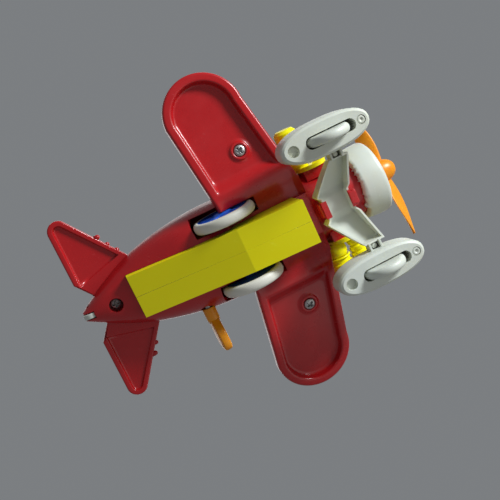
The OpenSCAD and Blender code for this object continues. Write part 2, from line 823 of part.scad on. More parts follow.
module mainspring() {
    turns = 4.5;
    strip = 0.5;
    r0 = winding_r;
    r1 = 9.2;
    steps = round(turns * 20);
    function coil(i) = r0 + (r1 - r0) * i / steps;
    color("dimgray") airframe() translate([key_x, 8.4, key_z]) rotate([90, 0, 0])
        linear_extrude(4.6) difference() {
            polygon(concat(
                [for (i = [0:steps]) let (a = 18 * i) [coil(i) * cos(a), coil(i) * sin(a)]],
                [for (i = [steps:-1:0]) let (a = 18 * i)
                    [(coil(i) + strip) * cos(a), (coil(i) + strip) * sin(a)]]));
            circle(r = winding_r);
        }
}

module winding_key() {
    y0 = body_half_w - 3.4;
    y1 = y0 + key_len;
    grip_h = 20;
    color(amber) airframe() translate([key_x, 0, key_z]) difference() {
        union() {
            translate([0, y0, 0]) rotate([-90, 0, 0]) cylinder(r = key_stem_r, h = 9.8);
            translate([2.8, 0, 0]) rotate([0, -90, 0]) linear_extrude(5.6)
                polygon(concat([[-3, y0 + 6.8], [3, y0 + 6.8]],
                    arc(grip_h / 2 - 4, y1 - 4, 4, 0, 90, 6),
                    arc(4 - grip_h / 2, y1 - 4, 4, 90, 180, 6)));
        }
        translate([0, y0 - past, 0]) rotate([-90, 0, 0]) cylinder(r = winding_r, h = 9.4 + past);
    }
}

// ---- Main wheels -----------------------------------------------------

module drive_axle() {
    color(steel) airframe()
        rod_y(main_x, main_z, axle_r, -main_y - main_w / 2, main_y + main_w / 2);
}

module main_hub(side) {
    y_in = main_y - main_w / 2 + 0.4;
    y_out = main_y + main_w / 2 - 0.4;
    color(blue) airframe() on_side(side) difference() {
        turned_y(main_x, main_z, [
            [axle_r, y_in - 1.4], [3.4, y_in - 1.4], [3.4, y_in], [hub_r, y_in],
            [hub_r, y_out], [hub_r - 1.6, y_out], [hub_r - 2.2, y_out - 1.6],
            [4.6, y_out - 1.6], [4.2, y_out], [axle_r, y_out]]);
        for (a = [0:60:300]) translate([main_x, 0, main_z]) rotate([0, a, 0])
            rod_y(7.8, 0, 1.9, 0, main_y + main_w);
    }
}

module main_hub_left() { main_hub(1); }
module main_hub_right() { main_hub(-1); }

module main_tyre(side) {
    y0 = main_y - main_w / 2;
    y1 = main_y + main_w / 2;
    color(cream) airframe() on_side(side) turned_y(main_x, main_z, concat(
        [[hub_r, y0]],
        arc(main_r - 1.6, y0 + 1.6, 1.6, -90, 0, 5),
        arc(main_r - 1.6, y1 - 1.6, 1.6, 0, 90, 5),
        [[hub_r, y1]]));
}

module main_tyre_left() { main_tyre(1); }
module main_tyre_right() { main_tyre(-1); }

// ---- Landing gear ----------------------------------------------------

function leg_outline() = [
    [leg_mid_x0, -leg_t], [leg_mid_x1, -leg_t], [leg_mid_x1, 0], [38.6, 1.8],
    [leg_end_x1, leg_len], [leg_end_x0, leg_len], [21, 1.8], [leg_mid_x0, 0]];

function leg_pocket() = let (w = leg_wall) [
    [leg_mid_x0 + w, -leg_t], [leg_mid_x1 - w, -leg_t], [leg_mid_x1 - w, 0.8], [38.6 - w, 2.6],
    [leg_end_x1 - w, leg_len - w], [leg_end_x0 + w + 0.6, leg_len - w],
    [21 + w + 0.8, 2.6], [leg_mid_x0 + w, 0.8]];

module leg_axes() {
    translate([0, leg_root_y, leg_apex_z]) rotate([-leg_droop, 0, 0]) children();
}

// The part of a leg that lies outboard of the level middle
module outboard() {
    intersection() {
        children();
        box(0, 60, leg_root_y, spat_y - spat_w / 2 - fit_gap, -60, 0);
    }
}

module gear_strut() {
    end_y = spat_y - spat_w / 2;
    tongue_x = (tongue_x0 + tongue_x1) / 2;
    color(cream) airframe() difference() {
        union() {
            box(leg_mid_x0, leg_mid_x1, -leg_root_y, leg_root_y, leg_apex_z, leg_apex_z + leg_t);
            for (side = [1, -1]) on_side(side) {
                outboard() leg_axes() linear_extrude(leg_t) polygon(leg_outline());
                box(tongue_x0, tongue_x1, leg_root_y + (leg_len - 3) * cos(leg_droop),
                    end_y - 0.1, tongue_z - 2, tongue_z + 2);
                rod_y(tongue_x, tongue_z, 1.7, end_y - 2, end_y + 3);
            }
        }
        box(leg_mid_x0 + leg_wall, leg_mid_x1 - leg_wall, -leg_root_y - 0.01, leg_root_y + 0.01,
            leg_apex_z - past, leg_apex_z + leg_t - leg_wall);
        for (side = [1, -1]) on_side(side) outboard() leg_axes()
            translate([0, 0, -past]) linear_extrude(leg_t - leg_wall + past)
                polygon(leg_pocket());
    }
}

module front_wheel_space(gap) {
    rod_y(front_x, front_z, front_r + 3 * gap, spat_y - slot_w / 2, spat_y + slot_w / 2);
}

// Section of the fairing at height z, drawn in to the fraction f of its size
function spat_ring(z, fx, fy) =
    [for (p = oval(spat_x, spat_y, spat_len * fx / 2, spat_w * fy / 2, 2.6, 2.2, 32))
        [p[0], p[1], z]];

module spat_shell(side) {
    tongue_x = (tongue_x0 + tongue_x1) / 2;
    roof_z = spat_bottom_z + spat_h - spat_roof_h;
    color(cream) airframe() on_side(side) difference() {
        loft(concat([spat_ring(front_z, 1, 1)],
            [for (a = [0:22.5:90]) spat_ring(roof_z + spat_roof_h * sin(a),
                                             0.55 + 0.45 * cos(a), 0.35 + 0.65 * cos(a))]));
        front_wheel_space(moving_gap);
        rod_y(front_x, front_z, front_axle_r, spat_y - 7, spat_y + 7);
        rod_y(tongue_x, tongue_z, 1.75, 0, spat_y - spat_w / 2 + 3.2);
        translate([peg_x, spat_y, front_z - past]) cylinder(r = peg_r, h = past + 4);
    }
}

module spat_shell_left() { spat_shell(1); }
module spat_shell_right() { spat_shell(-1); }

module spat_cover(side) {
    slot_x = front_x + 0.9;
    half = (slot_len - slot_w) / 2;
    color(cream) airframe() on_side(side) difference() {
        loft([spat_ring(spat_bottom_z, 0.93, 0.84), spat_ring(spat_bottom_z + 0.8, 0.975, 0.95),
              spat_ring(front_z, 1, 1)]);
        translate([0, 0, spat_bottom_z - past]) linear_extrude(10) {
            for (x = [-half, half]) translate([slot_x + x, spat_y]) circle(d = slot_w);
            translate([slot_x - half, spat_y - slot_w / 2]) square([2 * half, slot_w]);
        }
        rod_y(front_x, front_z, front_axle_r, spat_y - 7, spat_y + 7);
        translate([peg_x, spat_y, spat_bottom_z - past]) cylinder(r = peg_r, h = 10);
        translate([dimple_x, spat_y, spat_bottom_z - past]) cylinder(r = dimple_r, h = past + 1.6);
    }
}

module spat_cover_left() { spat_cover(1); }
module spat_cover_right() { spat_cover(-1); }

module spat_pegs() {
    color(cream) airframe() for (side = [1, -1]) on_side(side)
        translate([peg_x, spat_y, spat_bottom_z + 0.4])
            cylinder(r = peg_r, h = front_z - spat_bottom_z + 3);
}

module front_wheel(side) {
    y0 = spat_y - front_w / 2;
    y1 = spat_y + front_w / 2;
    bore = front_axle_r + running;
    color(cream) airframe() on_side(side) turned_y(front_x, front_z, concat(
        [[bore, y0 + 0.3], [front_r - 3, y0 + 0.3]],
        arc(front_r - 1.9, y0 + 1.9, 1.9, -90, 0, 6),
        arc(front_r - 1.9, y1 - 1.9, 1.9, 0, 90, 6),
        [[front_r - 3, y1 - 0.3], [bore, y1 - 0.3]]));
}

module front_wheel_left() { front_wheel(1); }
module front_wheel_right() { front_wheel(-1); }

module front_axle(side) {
    color(steel) airframe() on_side(side)
        rod_y(front_x, front_z, front_axle_r, spat_y - 6.6, spat_y + 6.6);
}

module front_axle_left() { front_axle(1); }
module front_axle_right() { front_axle(-1); }

// ---- Screws ----------------------------------------------------------

module wing_screws() {
    color(steel) airframe() for (side = [1, -1]) on_side(side) panel_axes()
        translate([0, screw_y, recess_depth - boss_h]) screw(9.5);
}

module tail_screw() {
    color(steel) airframe() translate([tail_screw_x, 0, tail_screw_z]) screw(tail_screw_len);
}

// ---- Assembly --------------------------------------------------------

fuselage_bottom();
fuselage_top();
lower_wing();
upper_wing();
tailplane();
fin();
cabane_left();
cabane_right();
interplane_left();
interplane_right();
windscreen();
cockpit_tub();
cowl_ring();
nose_plate();
propeller();
prop_shaft();
engine_left();
engine_right();
gearbox_left();
gearbox_right();
drive_axle();
axle_pinion();
main_hub_left();
main_hub_right();
main_tyre_left();
main_tyre_right();
idler_gear();
idler_pin();
winding_gear();
winding_shaft();
mainspring();
winding_key();
gear_strut();
spat_shell_left();
spat_shell_right();
spat_cover_left();
spat_cover_right();
spat_pegs();
front_wheel_left();
front_wheel_right();
front_axle_left();
front_axle_right();
tail_roller();
roller_pin();
wing_screws();
tail_screw();
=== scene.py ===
"""Clockwork toy biplane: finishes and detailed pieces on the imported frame."""

import json
import math

import bmesh
import bpy
import numpy as np
from mathutils import Matrix, Vector


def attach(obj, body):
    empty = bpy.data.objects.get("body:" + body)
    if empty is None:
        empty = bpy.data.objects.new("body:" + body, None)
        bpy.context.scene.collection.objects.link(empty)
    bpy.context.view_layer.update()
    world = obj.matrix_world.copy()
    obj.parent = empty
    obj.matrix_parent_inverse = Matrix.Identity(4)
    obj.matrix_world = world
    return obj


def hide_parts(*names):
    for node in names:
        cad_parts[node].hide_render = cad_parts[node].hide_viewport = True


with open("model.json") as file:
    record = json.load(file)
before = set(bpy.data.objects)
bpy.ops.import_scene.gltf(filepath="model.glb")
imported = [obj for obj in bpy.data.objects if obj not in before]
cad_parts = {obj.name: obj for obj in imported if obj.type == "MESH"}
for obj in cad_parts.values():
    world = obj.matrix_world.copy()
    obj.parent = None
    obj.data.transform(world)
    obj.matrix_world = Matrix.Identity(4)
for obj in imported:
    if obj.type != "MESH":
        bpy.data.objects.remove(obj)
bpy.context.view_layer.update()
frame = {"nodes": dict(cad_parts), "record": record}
nodes = frame["nodes"]
body_of_node = {
    node: body for body, members in frame["record"]["behaviour"]["bodies"].items() for node in members
}
slot_of_node = {s["node"]: s["material_slot"] for s in frame["record"]["subparts"]}

# ---- Stance: the maker's axes (mm, X along the propeller shaft) in the row frame (m) ----

PITCH = math.radians(21.325138)
GROUND = -35.015121
STAND_X = 17.345465
TURN = Matrix(
    (
        (math.cos(PITCH), 0, -math.sin(PITCH)),
        (0, 1, 0),
        (math.sin(PITCH), 0, math.cos(PITCH)),
    )
)
AIRFRAME = Matrix.Scale(0.001, 4) @ Matrix.Translation((STAND_X, 0, -GROUND)) @ TURN.to_4x4()
SIDES = ((1, "left"), (-1, "right"))


# ---- Shader maths ----------------------------------------------------


class Wire:
    """A socket that adds Math nodes when it is used in arithmetic."""

    def __init__(self, finish, socket):
        self.finish = finish
        self.socket = socket

    def _math(self, operation, a, b=0.0, clamp=False):
        settings = {"operation": operation, "use_clamp": clamp}
        return self.finish.add("ShaderNodeMath", settings, {0: a, 1: b})

    def __add__(self, other):
        return self._math("ADD", self, other)

    def __radd__(self, other):
        return self._math("ADD", other, self)

    def __sub__(self, other):
        return self._math("SUBTRACT", self, other)

    def __rsub__(self, other):
        return self._math("SUBTRACT", other, self)

    def __mul__(self, other):
        return self._math("MULTIPLY", self, other)

    def __rmul__(self, other):
        return self._math("MULTIPLY", other, self)

    def held(self):
        """The value kept between 0 and 1."""
        return self._math("ADD", self, 0.0, clamp=True)

    def band(self, low, high):
        """0 below low, 1 above high, smooth between; the other way round where low is the larger."""
        limits = {"Value": self, "From Min": low, "From Max": high, "To Min": 0.0, "To Max": 1.0}
        return self.finish.add("ShaderNodeMapRange", {"interpolation_type": "SMOOTHSTEP"}, limits)


class Finish:
    """A material with one Principled shader, built from expressions."""

    def __init__(self, name, **constants):
        self.material = bpy.data.materials.new(name)
        self.material.use_nodes = True
        self.tree = self.material.node_tree
        self.tree.nodes.clear()
        self.output = self.tree.nodes.new("ShaderNodeOutputMaterial")
        self.shader = self.tree.nodes.new("ShaderNodeBsdfPrincipled")
        self.tree.links.new(self.shader.outputs["BSDF"], self.output.inputs["Surface"])
        for socket, value in constants.items():
            self.shader.inputs[socket.replace("_", " ")].default_value = value
        self.where = self.add("ShaderNodeTexCoord", out="Object")

    def add(self, kind, settings=None, values=None, out=0):
        """Adds a node, sets it up, fills its sockets, and returns one output as a Wire."""
        node = self.tree.nodes.new(kind)
        for key, value in (settings or {}).items():
            setattr(node, key, value)
        for socket, value in (values or {}).items():
            self.put(node.inputs[socket], value)
        return Wire(self, node.outputs[out])

    def put(self, socket, value):
        if isinstance(value, Wire):
            self.tree.links.new(value.socket, socket)
        elif isinstance(value, (tuple, list)) and len(value) == 3 and socket.type == "RGBA":
            socket.default_value = (*value, 1)
        else:
            socket.default_value = value

    def set(self, **sockets):
        for name, value in sockets.items():
            self.put(self.shader.inputs[name.replace("_", " ")], value)
        return self

    def noise(self, scale, detail=3.0, rough=0.55, where=None):
        """Noise with features of about 1/scale metres."""
        values = {"Vector": where or self.where, "Scale": scale, "Detail": detail, "Roughness": rough}
        return self.add("ShaderNodeTexNoise", None, values)

    def cells(self, scale):
        """Distance to the nearest of scattered points, about 1/scale metres apart."""
        return self.add("ShaderNodeTexVoronoi", {"feature": "F1"}, {"Vector": self.where, "Scale": scale})

    def stretched(self, turn, size):
        """Object coordinates turned and scaled, for grain that runs one way."""
        values = {"Vector": self.where, "Rotation": turn, "Scale": size}
        return self.add("ShaderNodeMapping", {"vector_type": "TEXTURE"}, values)

    def mix(self, share, a, b):
        """Colour a where share is 0, b where it is 1."""
        return self.add("ShaderNodeMix", {"data_type": "RGBA"}, {0: share, 6: a, 7: b}, 2)

    def bump(self, height, strength, distance):
        values = {"Strength": strength, "Distance": distance, "Height": height}
        return self.add("ShaderNodeBump", None, values)

    def edge(self):
        """1 on the rounded edges of a moulded piece, 0 elsewhere."""
        return self.add("ShaderNodeAttribute", {"attribute_name": "edge"}, out="Fac")

    def hollow(self, distance=0.006):
        """1 in corners and recesses, 0 in the open."""
        open_sky = self.add("ShaderNodeAmbientOcclusion", {"samples": 8}, {"Distance": distance}, out="AO")
        return 1 - open_sky


def moulded_plastic(name, base, faded, shadow_and_dust_colour, rough, shadow_and_dust_amount=0.3, orange_peel=0.05, **constants):
    """Glossy injection-moulded plastic: flow marks, handling haze, hairline scratches, dust specks and
    painted shade in corners and recesses.
    """
    f = Finish(name, **constants)
    flow = f.noise(28, 3).band(0.32, 0.7)
    mottle = f.noise(210, 4).band(0.35, 0.7)
    colour = f.mix(flow * 0.55 + mottle * 0.2, base, faded)
    scratch_a = f.noise(900, 2, where=f.stretched((0.3, 0.2, 0.7), (22, 1, 1))).band(0.66, 0.74)
    scratch_b = f.noise(850, 2, where=f.stretched((0.9, 1.1, -0.5), (26, 1, 1))).band(0.67, 0.75)
    scratches = (scratch_a + scratch_b).held() * f.noise(60, 2).band(0.45, 0.65)
    worn = (f.edge() * f.noise(420, 3).band(0.45, 0.75) * 0.5).held()
    colour = f.mix((worn + scratches * 0.3).held(), colour, tuple(min(1, c * 1.25 + 0.05) for c in base))
    # Painted shade: an ambient-occlusion mask, broken up by noise, darkens corners and recesses towards the
    # fourth colour; the specks on the next line are dust
    corners = (f.hollow() * f.noise(95, 4).band(0.3, 0.75)).band(0.12, 0.75)
    specks = f.cells(640).band(0.13, 0.06) * f.noise(75, 2).band(0.52, 0.7)
    # Painted corner shade plus dust specks, both in the fourth colour; the same mask also roughens the
    # surface
    shade_and_dust = (corners * shadow_and_dust_amount + specks * 0.35 * shadow_and_dust_amount).held()
    colour = f.mix(shade_and_dust, colour, shadow_and_dust_colour)
    haze = f.noise(46, 5, 0.65).band(0.35, 0.72)
    relief = f.noise(520, 2) * orange_peel + scratches * -0.03 + f.noise(45, 1) * 0.5 * orange_peel
    f.set(
        Base_Color=colour,
        Roughness=(rough + haze * 0.12 + scratches * 0.22 + shade_and_dust * 0.5 + worn * 0.1).held(),
        Normal=f.bump(relief, 0.5, 0.0006),
    )
    return f.material


def steel(name, base, rough):
    """Plated wire and screw steel: drawn lines, tarnish and small pits."""
    f = Finish(name, Metallic=1.0)
    drawn = f.noise(1500, 3, where=f.stretched((0, 0, 0), (1, 18, 1)))
    tarnish = f.noise(260, 4).band(0.45, 0.75)
    pits = f.cells(1800).band(0.2, 0.1) * f.noise(400).band(0.5, 0.7)
    f.set(
        Base_Color=f.mix((tarnish * 0.6 + pits).held(), base, (0.2, 0.17, 0.14)),
        Roughness=(rough + drawn * 0.15 + tarnish * 0.25).held(),
        Normal=f.bump(drawn * 0.4 - pits, 0.4, 0.0002),
    )
    return f.material


def clear_sheet(name):
    f = Finish(name, Transmission_Weight=1.0, IOR=1.49)
    smears = f.noise(60, 4).band(0.45, 0.8)
    f.set(Base_Color=f.mix(smears, (0.95, 0.97, 0.98), (0.85, 0.88, 0.88)), Roughness=0.05 + smears * 0.15)
    return f.material


# The fourth colour of each plastic is the dark shade painted into its corners and recesses, also used for its
# dust specks
RED = moulded_plastic(
    "red_plastic", (0.42, 0.005, 0.008), (0.50, 0.010, 0.012), (0.07, 0.008, 0.008), 0.24, 0.35, 0.07,
    Coat_Weight=0.2, Coat_Roughness=0.12,
)
YELLOW = moulded_plastic(
    "yellow_plastic", (0.93, 0.83, 0.002), (0.95, 0.86, 0.004), (0.36, 0.24, 0.04), 0.30, 0.3, 0.05,
    Subsurface_Weight=0.05, Subsurface_Radius=(0.002, 0.001, 0.0003), Specular_IOR_Level=0.35,
)
CREAM = moulded_plastic(
    "cream_plastic", (0.66, 0.70, 0.64), (0.64, 0.64, 0.52), (0.30, 0.27, 0.18), 0.36, 0.4, 0.06,
    Subsurface_Weight=0.08, Subsurface_Radius=(0.002, 0.0016, 0.001),
)
BLUE = moulded_plastic("blue_plastic", (0.012, 0.12, 0.72), (0.02, 0.15, 0.78), (0.05, 0.05, 0.08), 0.26, 0.3)
AMBER = moulded_plastic(
    "amber_plastic", (0.82, 0.27, 0.004), (0.90, 0.36, 0.008), (0.35, 0.14, 0.02), 0.28, 0.3, 0.05,
    Subsurface_Weight=0.15, Subsurface_Radius=(0.004, 0.0015, 0.0003),
)
TYRE = moulded_plastic(
    "tyre_ring", (0.76, 0.74, 0.66), (0.70, 0.67, 0.56), (0.26, 0.22, 0.16), 0.42, 0.5, 0.08,
)
GEAR = moulded_plastic("gear_plastic", (0.80, 0.79, 0.74), (0.76, 0.74, 0.66), (0.3, 0.27, 0.2), 0.4, 0.3)
DARK = moulded_plastic(
    "dark_lining", (0.03, 0.03, 0.032), (0.045, 0.044, 0.042), (0.12, 0.11, 0.09), 0.5, 0.4,
)
STEEL = steel("plated_steel", (0.50, 0.49, 0.48), 0.3)
CLEAR = clear_sheet("clear_sheet")
FINISH = {
    "red": RED, "yellow": YELLOW, "cream": CREAM, "blue": BLUE, "amber": AMBER, "tyre": TYRE,
    "gear_plastic": GEAR, "dark": DARK, "steel": STEEL, "clear": CLEAR,
}

for name, node in nodes.items():
    node.data.materials.clear()
    node.data.materials.append(FINISH[slot_of_node[name]])


# ---- Making pieces ---------------------------------------------------


WELD = 2e-6  # points nearer than this are joined, in metres
HARD_EDGE = math.radians(40)  # an edge that turns more than this is shaded sharp
PLASTIC_EDGE = 0.0003  # rounding of the edges, in metres
STEEL_EDGE = 0.0001
stood_for = set()  # CAD nodes that a piece already stands for


def finish_piece(piece, body, slot, *stands_for):
    """Gives a mesh piece its finish and hangs it on a body."""
    piece.data.materials.clear()
    piece.data.materials.append(FINISH[slot])
    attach(piece, body)
    if stands_for:
        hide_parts(*stands_for)
        stood_for.update(stands_for)


def piece_from(name, bm, even=True):
    """An object from a bmesh; even makes flat faces shade flat up to their rounded edges."""
    mesh = bpy.data.meshes.new(name)
    bm.to_mesh(mesh)
    bm.free()
    piece = bpy.data.objects.new(name, mesh)
    bpy.context.scene.collection.objects.link(piece)
    if even:
        shade = piece.modifiers.new("even", "WEIGHTED_NORMAL")
        shade.keep_sharp = True
        shade.weight = 60
        settle(piece)
    return piece


def settle(piece):
    """Applies a piece's modifiers, so that a plain mesh is left."""
    bpy.context.view_layer.update()
    shown = piece.evaluated_get(bpy.context.evaluated_depsgraph_get())
    mesh = bpy.data.meshes.new_from_object(shown)
    piece.modifiers.clear()
    piece.data = mesh
    return piece


def soften(bm, radius, angle=28, steps=2):
    """Rounds the sharp edges, marks them, and smooths what is left. Lengths in metres."""
    limit = math.radians(angle)
    sharp = [e for e in bm.edges if len(e.link_faces) == 2 and e.calc_face_angle(0) > limit]
    marks = bm.faces.layers.float.new("edge")
    bevelled = bmesh.ops.bevel(
        bm, geom=sharp, offset=radius, segments=steps, profile=0.5, affect="EDGES",
        clamp_overlap=True, offset_type="OFFSET", miter_outer="SHARP",
    )
    for face in bevelled["faces"]:
        face[marks] = 1.0
    for face in bm.faces:
        face.smooth = True
    for edge in bm.edges:
        if len(edge.link_faces) == 2 and edge.calc_face_angle(0) > HARD_EDGE:
            edge.smooth = False


def weld(bm):
    bmesh.ops.remove_doubles(bm, verts=bm.verts, dist=WELD)


def to_row_frame(bm):
    """From the maker's axes to the row frame, with the faces turned outwards."""
    bmesh.ops.transform(bm, matrix=AIRFRAME, verts=bm.verts)
    bmesh.ops.recalc_face_normals(bm, faces=bm.faces)


def carve(bm, cutters):
    """Cuts closed shapes, given in the maker's axes, out of a bmesh in the row frame."""
    whole = piece_from("whole", bm, even=False)
    tools = []
    for cutter in cutters:
        to_row_frame(cutter)
        tools.append(piece_from("cutter", cutter, even=False))
        cut = whole.modifiers.new("cut", "BOOLEAN")
        cut.operation = "DIFFERENCE"
        cut.solver = "EXACT"
        cut.object = tools[-1]
    settle(whole)
    bm = bmesh.new()
    bm.from_mesh(whole.data)
    for used in [whole] + tools:
        bpy.data.objects.remove(used)
    weld(bm)
    return bm


def copy_of(node):
    """A bmesh of a CAD node with its loose triangles joined."""
    bm = bmesh.new()
    bm.from_mesh(nodes[node].data)
    weld(bm)
    return bm


def moulded(node, radius, angle=28, steps=2, cutters=()):
    """A copy of a CAD node, cut by the cutters, with its edges rounded."""
    bm = copy_of(node)
    if cutters:
        bm = carve(bm, cutters)
    bmesh.ops.dissolve_degenerate(bm, edges=bm.edges, dist=1e-6)
    bmesh.ops.dissolve_limit(bm, angle_limit=math.radians(0.6), verts=bm.verts, edges=bm.edges)
    soften(bm, radius, angle, steps)
    finish_piece(piece_from(node + "_moulding", bm), body_of_node[node], slot_of_node[node], node)


def turns(count):
    """Angles evenly round a circle."""
    return [2 * math.pi * i / count for i in range(count)]


def circle(place, r, h, steps):
    return [place @ Vector((r * math.cos(a), r * math.sin(a), h)) for a in turns(steps)]


def vertices(bm, rings):
    return [[bm.verts.new(p) for p in ring] for ring in rings]


def bridge(bm, rows):
    """Quads between each row of vertices and the next."""
    for a, b in zip(rows, rows[1:]):
        for i in range(len(a)):
            j = (i + 1) % len(a)
            bm.faces.new((a[i], a[j], b[j], b[i]))


def skin(bm, rings):
    """A closed skin through rings of equal length, in mm."""
    rows = vertices(bm, rings)
    bridge(bm, rows)
    bm.faces.new(rows[0][::-1])
    bm.faces.new(rows[-1])


def turned(bm, profile, place, steps=48):
    """A turned shape: profile is (radius, height) from one end on the axis to the other."""
    rows = vertices(bm, [circle(place, r, h, steps) for r, h in profile if r > 0])
    bridge(bm, rows)
    for row, end in ((rows[0], profile[0]), (rows[-1], profile[-1])):
        tip = bm.verts.new(place @ Vector((0, 0, end[1])))
        for i in range(steps):
            bm.faces.new((row[i], row[(i + 1) % steps], tip))


def hoop(bm, profile, place, steps=72):
    """A turned shape with a bore, closed on itself."""
    rows = vertices(bm, [circle(place, r, h, steps) for r, h in profile])
    bridge(bm, rows + rows[:1])


def block(bm, x0, x1, y0, y1, z0, z1):
    skin(bm, [[(x0, y0, z), (x1, y0, z), (x1, y1, z), (x0, y1, z)] for z in (z0, z1)])


def made(name, bm, body, slot, *stands_for, even=True):
    """Turns a piece made in the maker's axes into a finished piece of the model."""
    to_row_frame(bm)
    bm.faces.layers.float.new("edge")
    for face in bm.faces:
        face.smooth = True
    finish_piece(piece_from(name, bm, even), body, slot, *stands_for)


def rounded(name, bm, body, slot, radius, *stands_for, angle=28, steps=3):
    """A made piece with its edges rounded by radius (mm)."""
    to_row_frame(bm)
    soften(bm, radius / 1000, angle, steps)
    finish_piece(piece_from(name, bm), body, slot, *stands_for)


def bend_arc(x, y, r, a0, a1, n):
    """Points on an arc about (x, y), from angle a0 to a1 in degrees, in n steps."""
    angles = [math.radians(a0 + (a1 - a0) * i / n) for i in range(n + 1)]
    return [(x + r * math.cos(a), y + r * math.sin(a)) for a in angles]


def share(value):
    """The value kept between 0 and 1."""
    return max(0, min(1, value))


# ---- Repeated details: one small item set on a list of spots ----------


def repeat_tree():
    """Points, an item, its size and a wobble go in; a plain mesh comes out."""
    tree = bpy.data.node_groups.new("repeat", "GeometryNodeTree")
    for name, kind in (
        ("Points", "Geometry"), ("Item", "Object"), ("Size", "Float"), ("Wobble", "Float"),
        ("Seed", "Int"), ("Finish", "Material"),
    ):
        tree.interface.new_socket(name, in_out="INPUT", socket_type="NodeSocket" + kind)
    tree.interface.new_socket("Mesh", in_out="OUTPUT", socket_type="NodeSocketGeometry")
    add, link = tree.nodes.new, tree.links.new
    given, out = add("NodeGroupInput"), add("NodeGroupOutput")
    item = add("GeometryNodeObjectInfo")
    item.inputs["As Instance"].default_value = True
    turn = add("GeometryNodeInputNamedAttribute")
    turn.data_type = "FLOAT_VECTOR"
    turn.inputs["Name"].default_value = "turn"
    low, high, scale = (add("ShaderNodeMath") for _ in range(3))
    for node, operation in ((low, "SUBTRACT"), (high, "ADD"), (scale, "MULTIPLY")):
        node.operation = operation
    pick = add("FunctionNodeRandomValue")
    pick.data_type = "FLOAT"
    spread = add("GeometryNodeInstanceOnPoints")
    real = add("GeometryNodeRealizeInstances")
    coat = add("GeometryNodeSetMaterial")
    link(given.outputs["Item"], item.inputs["Object"])
    for sum_node in (low, high):
        sum_node.inputs[0].default_value = 1.0
        link(given.outputs["Wobble"], sum_node.inputs[1])
    floats = [i for i in pick.inputs if i.type == "VALUE"]
    link(low.outputs[0], floats[0])
    link(high.outputs[0], floats[1])
    link(given.outputs["Seed"], pick.inputs["Seed"])
    link([o for o in pick.outputs if o.type == "VALUE"][0], scale.inputs[0])
    link(given.outputs["Size"], scale.inputs[1])
    link(given.outputs["Points"], spread.inputs["Points"])
    link(item.outputs["Geometry"], spread.inputs["Instance"])
    link(turn.outputs["Attribute"], spread.inputs["Rotation"])
    link(scale.outputs[0], spread.inputs["Scale"])
    link(spread.outputs[0], real.inputs[0])
    link(real.outputs[0], coat.inputs["Geometry"])
    link(given.outputs["Finish"], coat.inputs["Material"])
    link(coat.outputs[0], out.inputs[0])
    return tree


REPEAT = repeat_tree()
SOCKET = {i.name: i.identifier for i in REPEAT.interface.items_tree if i.in_out == "INPUT"}


def repeated(name, item_bm, spots, body, slot, size=1.0, wobble=0.0, seed=1):
    """Sets an item (mm) on spots, each a place in the maker's axes, as one plain piece."""
    bmesh.ops.scale(item_bm, vec=(0.001, 0.001, 0.001), verts=item_bm.verts)
    bmesh.ops.recalc_face_normals(item_bm, faces=item_bm.faces)
    for face in item_bm.faces:
        face.smooth = True
    item = piece_from(name + "_item", item_bm, even=False)
    mesh = bpy.data.meshes.new(name)
    places = [AIRFRAME @ spot for spot in spots]
    mesh.from_pydata([p.translation for p in places], [], [])
    turn = mesh.attributes.new("turn", "FLOAT_VECTOR", "POINT")
    for i, place in enumerate(places):
        turn.data[i].vector = place.to_euler("XYZ")
    piece = bpy.data.objects.new(name, mesh)
    bpy.context.scene.collection.objects.link(piece)
    spread = piece.modifiers.new("repeat", "NODES")
    spread.node_group = REPEAT
    given = {"Item": item, "Size": size, "Wobble": wobble, "Seed": seed, "Finish": FINISH[slot]}
    for socket, value in given.items():
        spread[SOCKET[socket]] = value
    settle(piece)
    bpy.data.objects.remove(item)
    finish_piece(piece, body, slot)


def bead(r, height):
    """A small rounded nub standing on z=0."""
    bm = bmesh.new()
    bend = [(r * math.cos(a), height - r + r * math.sin(a)) for a in (math.pi * i / 16 for i in range(8))]
    turned(bm, [(0, -0.6), (r, -0.6)] + bend + [(0, height)], Matrix.Identity(4), 24)
    return bm


# ---- Wings -----------------------------------------------------------

ROOT_Y = 20.0  # where the tilted panels start
WING_Z = -17.2  # the lower face at the root
WING_T = 6.0  # from the lower face to the top skin
FLOOR_Z = 4.2  # the recess's floor, above the lower face
RIM = 4.6  # width of the rim round the recess
DIHEDRAL = math.radians(10)
SCREW_Y = 43.0
LEAD_X = 19.8
TRAIL_X = -22.4
LEAD_SWEEP = 0.17
TRAIL_SWEEP = 0.1175
TIP_Y = 85.8
RIDGE_Y = 27  # the hollow beside the gearbox starts here
HOLLOW_DEPTH = 3.4
HOLLOW_FRONT_X = 19.4
HOLLOW_BACK_X = -21.6
HOLLOW_CUTS_X = (-21, -20, -19, -17.6, -16, 16.6, 17.4, 18.2, 19)
CENTRE_Y = 20.35  # half width of the piece between the two panels


def panel_ring(inset, z, root, corner):
    """Outline of a round-ended panel drawn in by inset, cut off square at root."""
    taper = LEAD_SWEEP - TRAIL_SWEEP
    r = (LEAD_X - TRAIL_X - 2 * inset - taper * (TIP_Y - inset - ROOT_Y)) / (2 - taper)
    yc = TIP_Y - inset - r
    xc = (LEAD_X + TRAIL_X - (LEAD_SWEEP + TRAIL_SWEEP) * (yc - ROOT_Y)) / 2
    back = TRAIL_X + inset - TRAIL_SWEEP * (root - ROOT_Y)
    front = LEAD_X - inset - LEAD_SWEEP * (root - ROOT_Y)
    points = bend_arc(back + corner, root + corner, corner, 180, 270, 4)
    points += bend_arc(front - corner, root + corner, corner, 270, 360, 4)
    points += bend_arc(xc, yc, r, 0, 180, 44)
    return [(x, y, z) for x, y in points]


def raise_panel(p, side):
    """From the flat panel to its place: tilted up at the root, on one side."""
    x, y, z = p
    c, s = math.cos(DIHEDRAL), math.sin(DIHEDRAL)
    return Vector((x, side * (ROOT_Y + (y - ROOT_Y) * c - z * s), WING_Z + (y - ROOT_Y) * s + z * c))


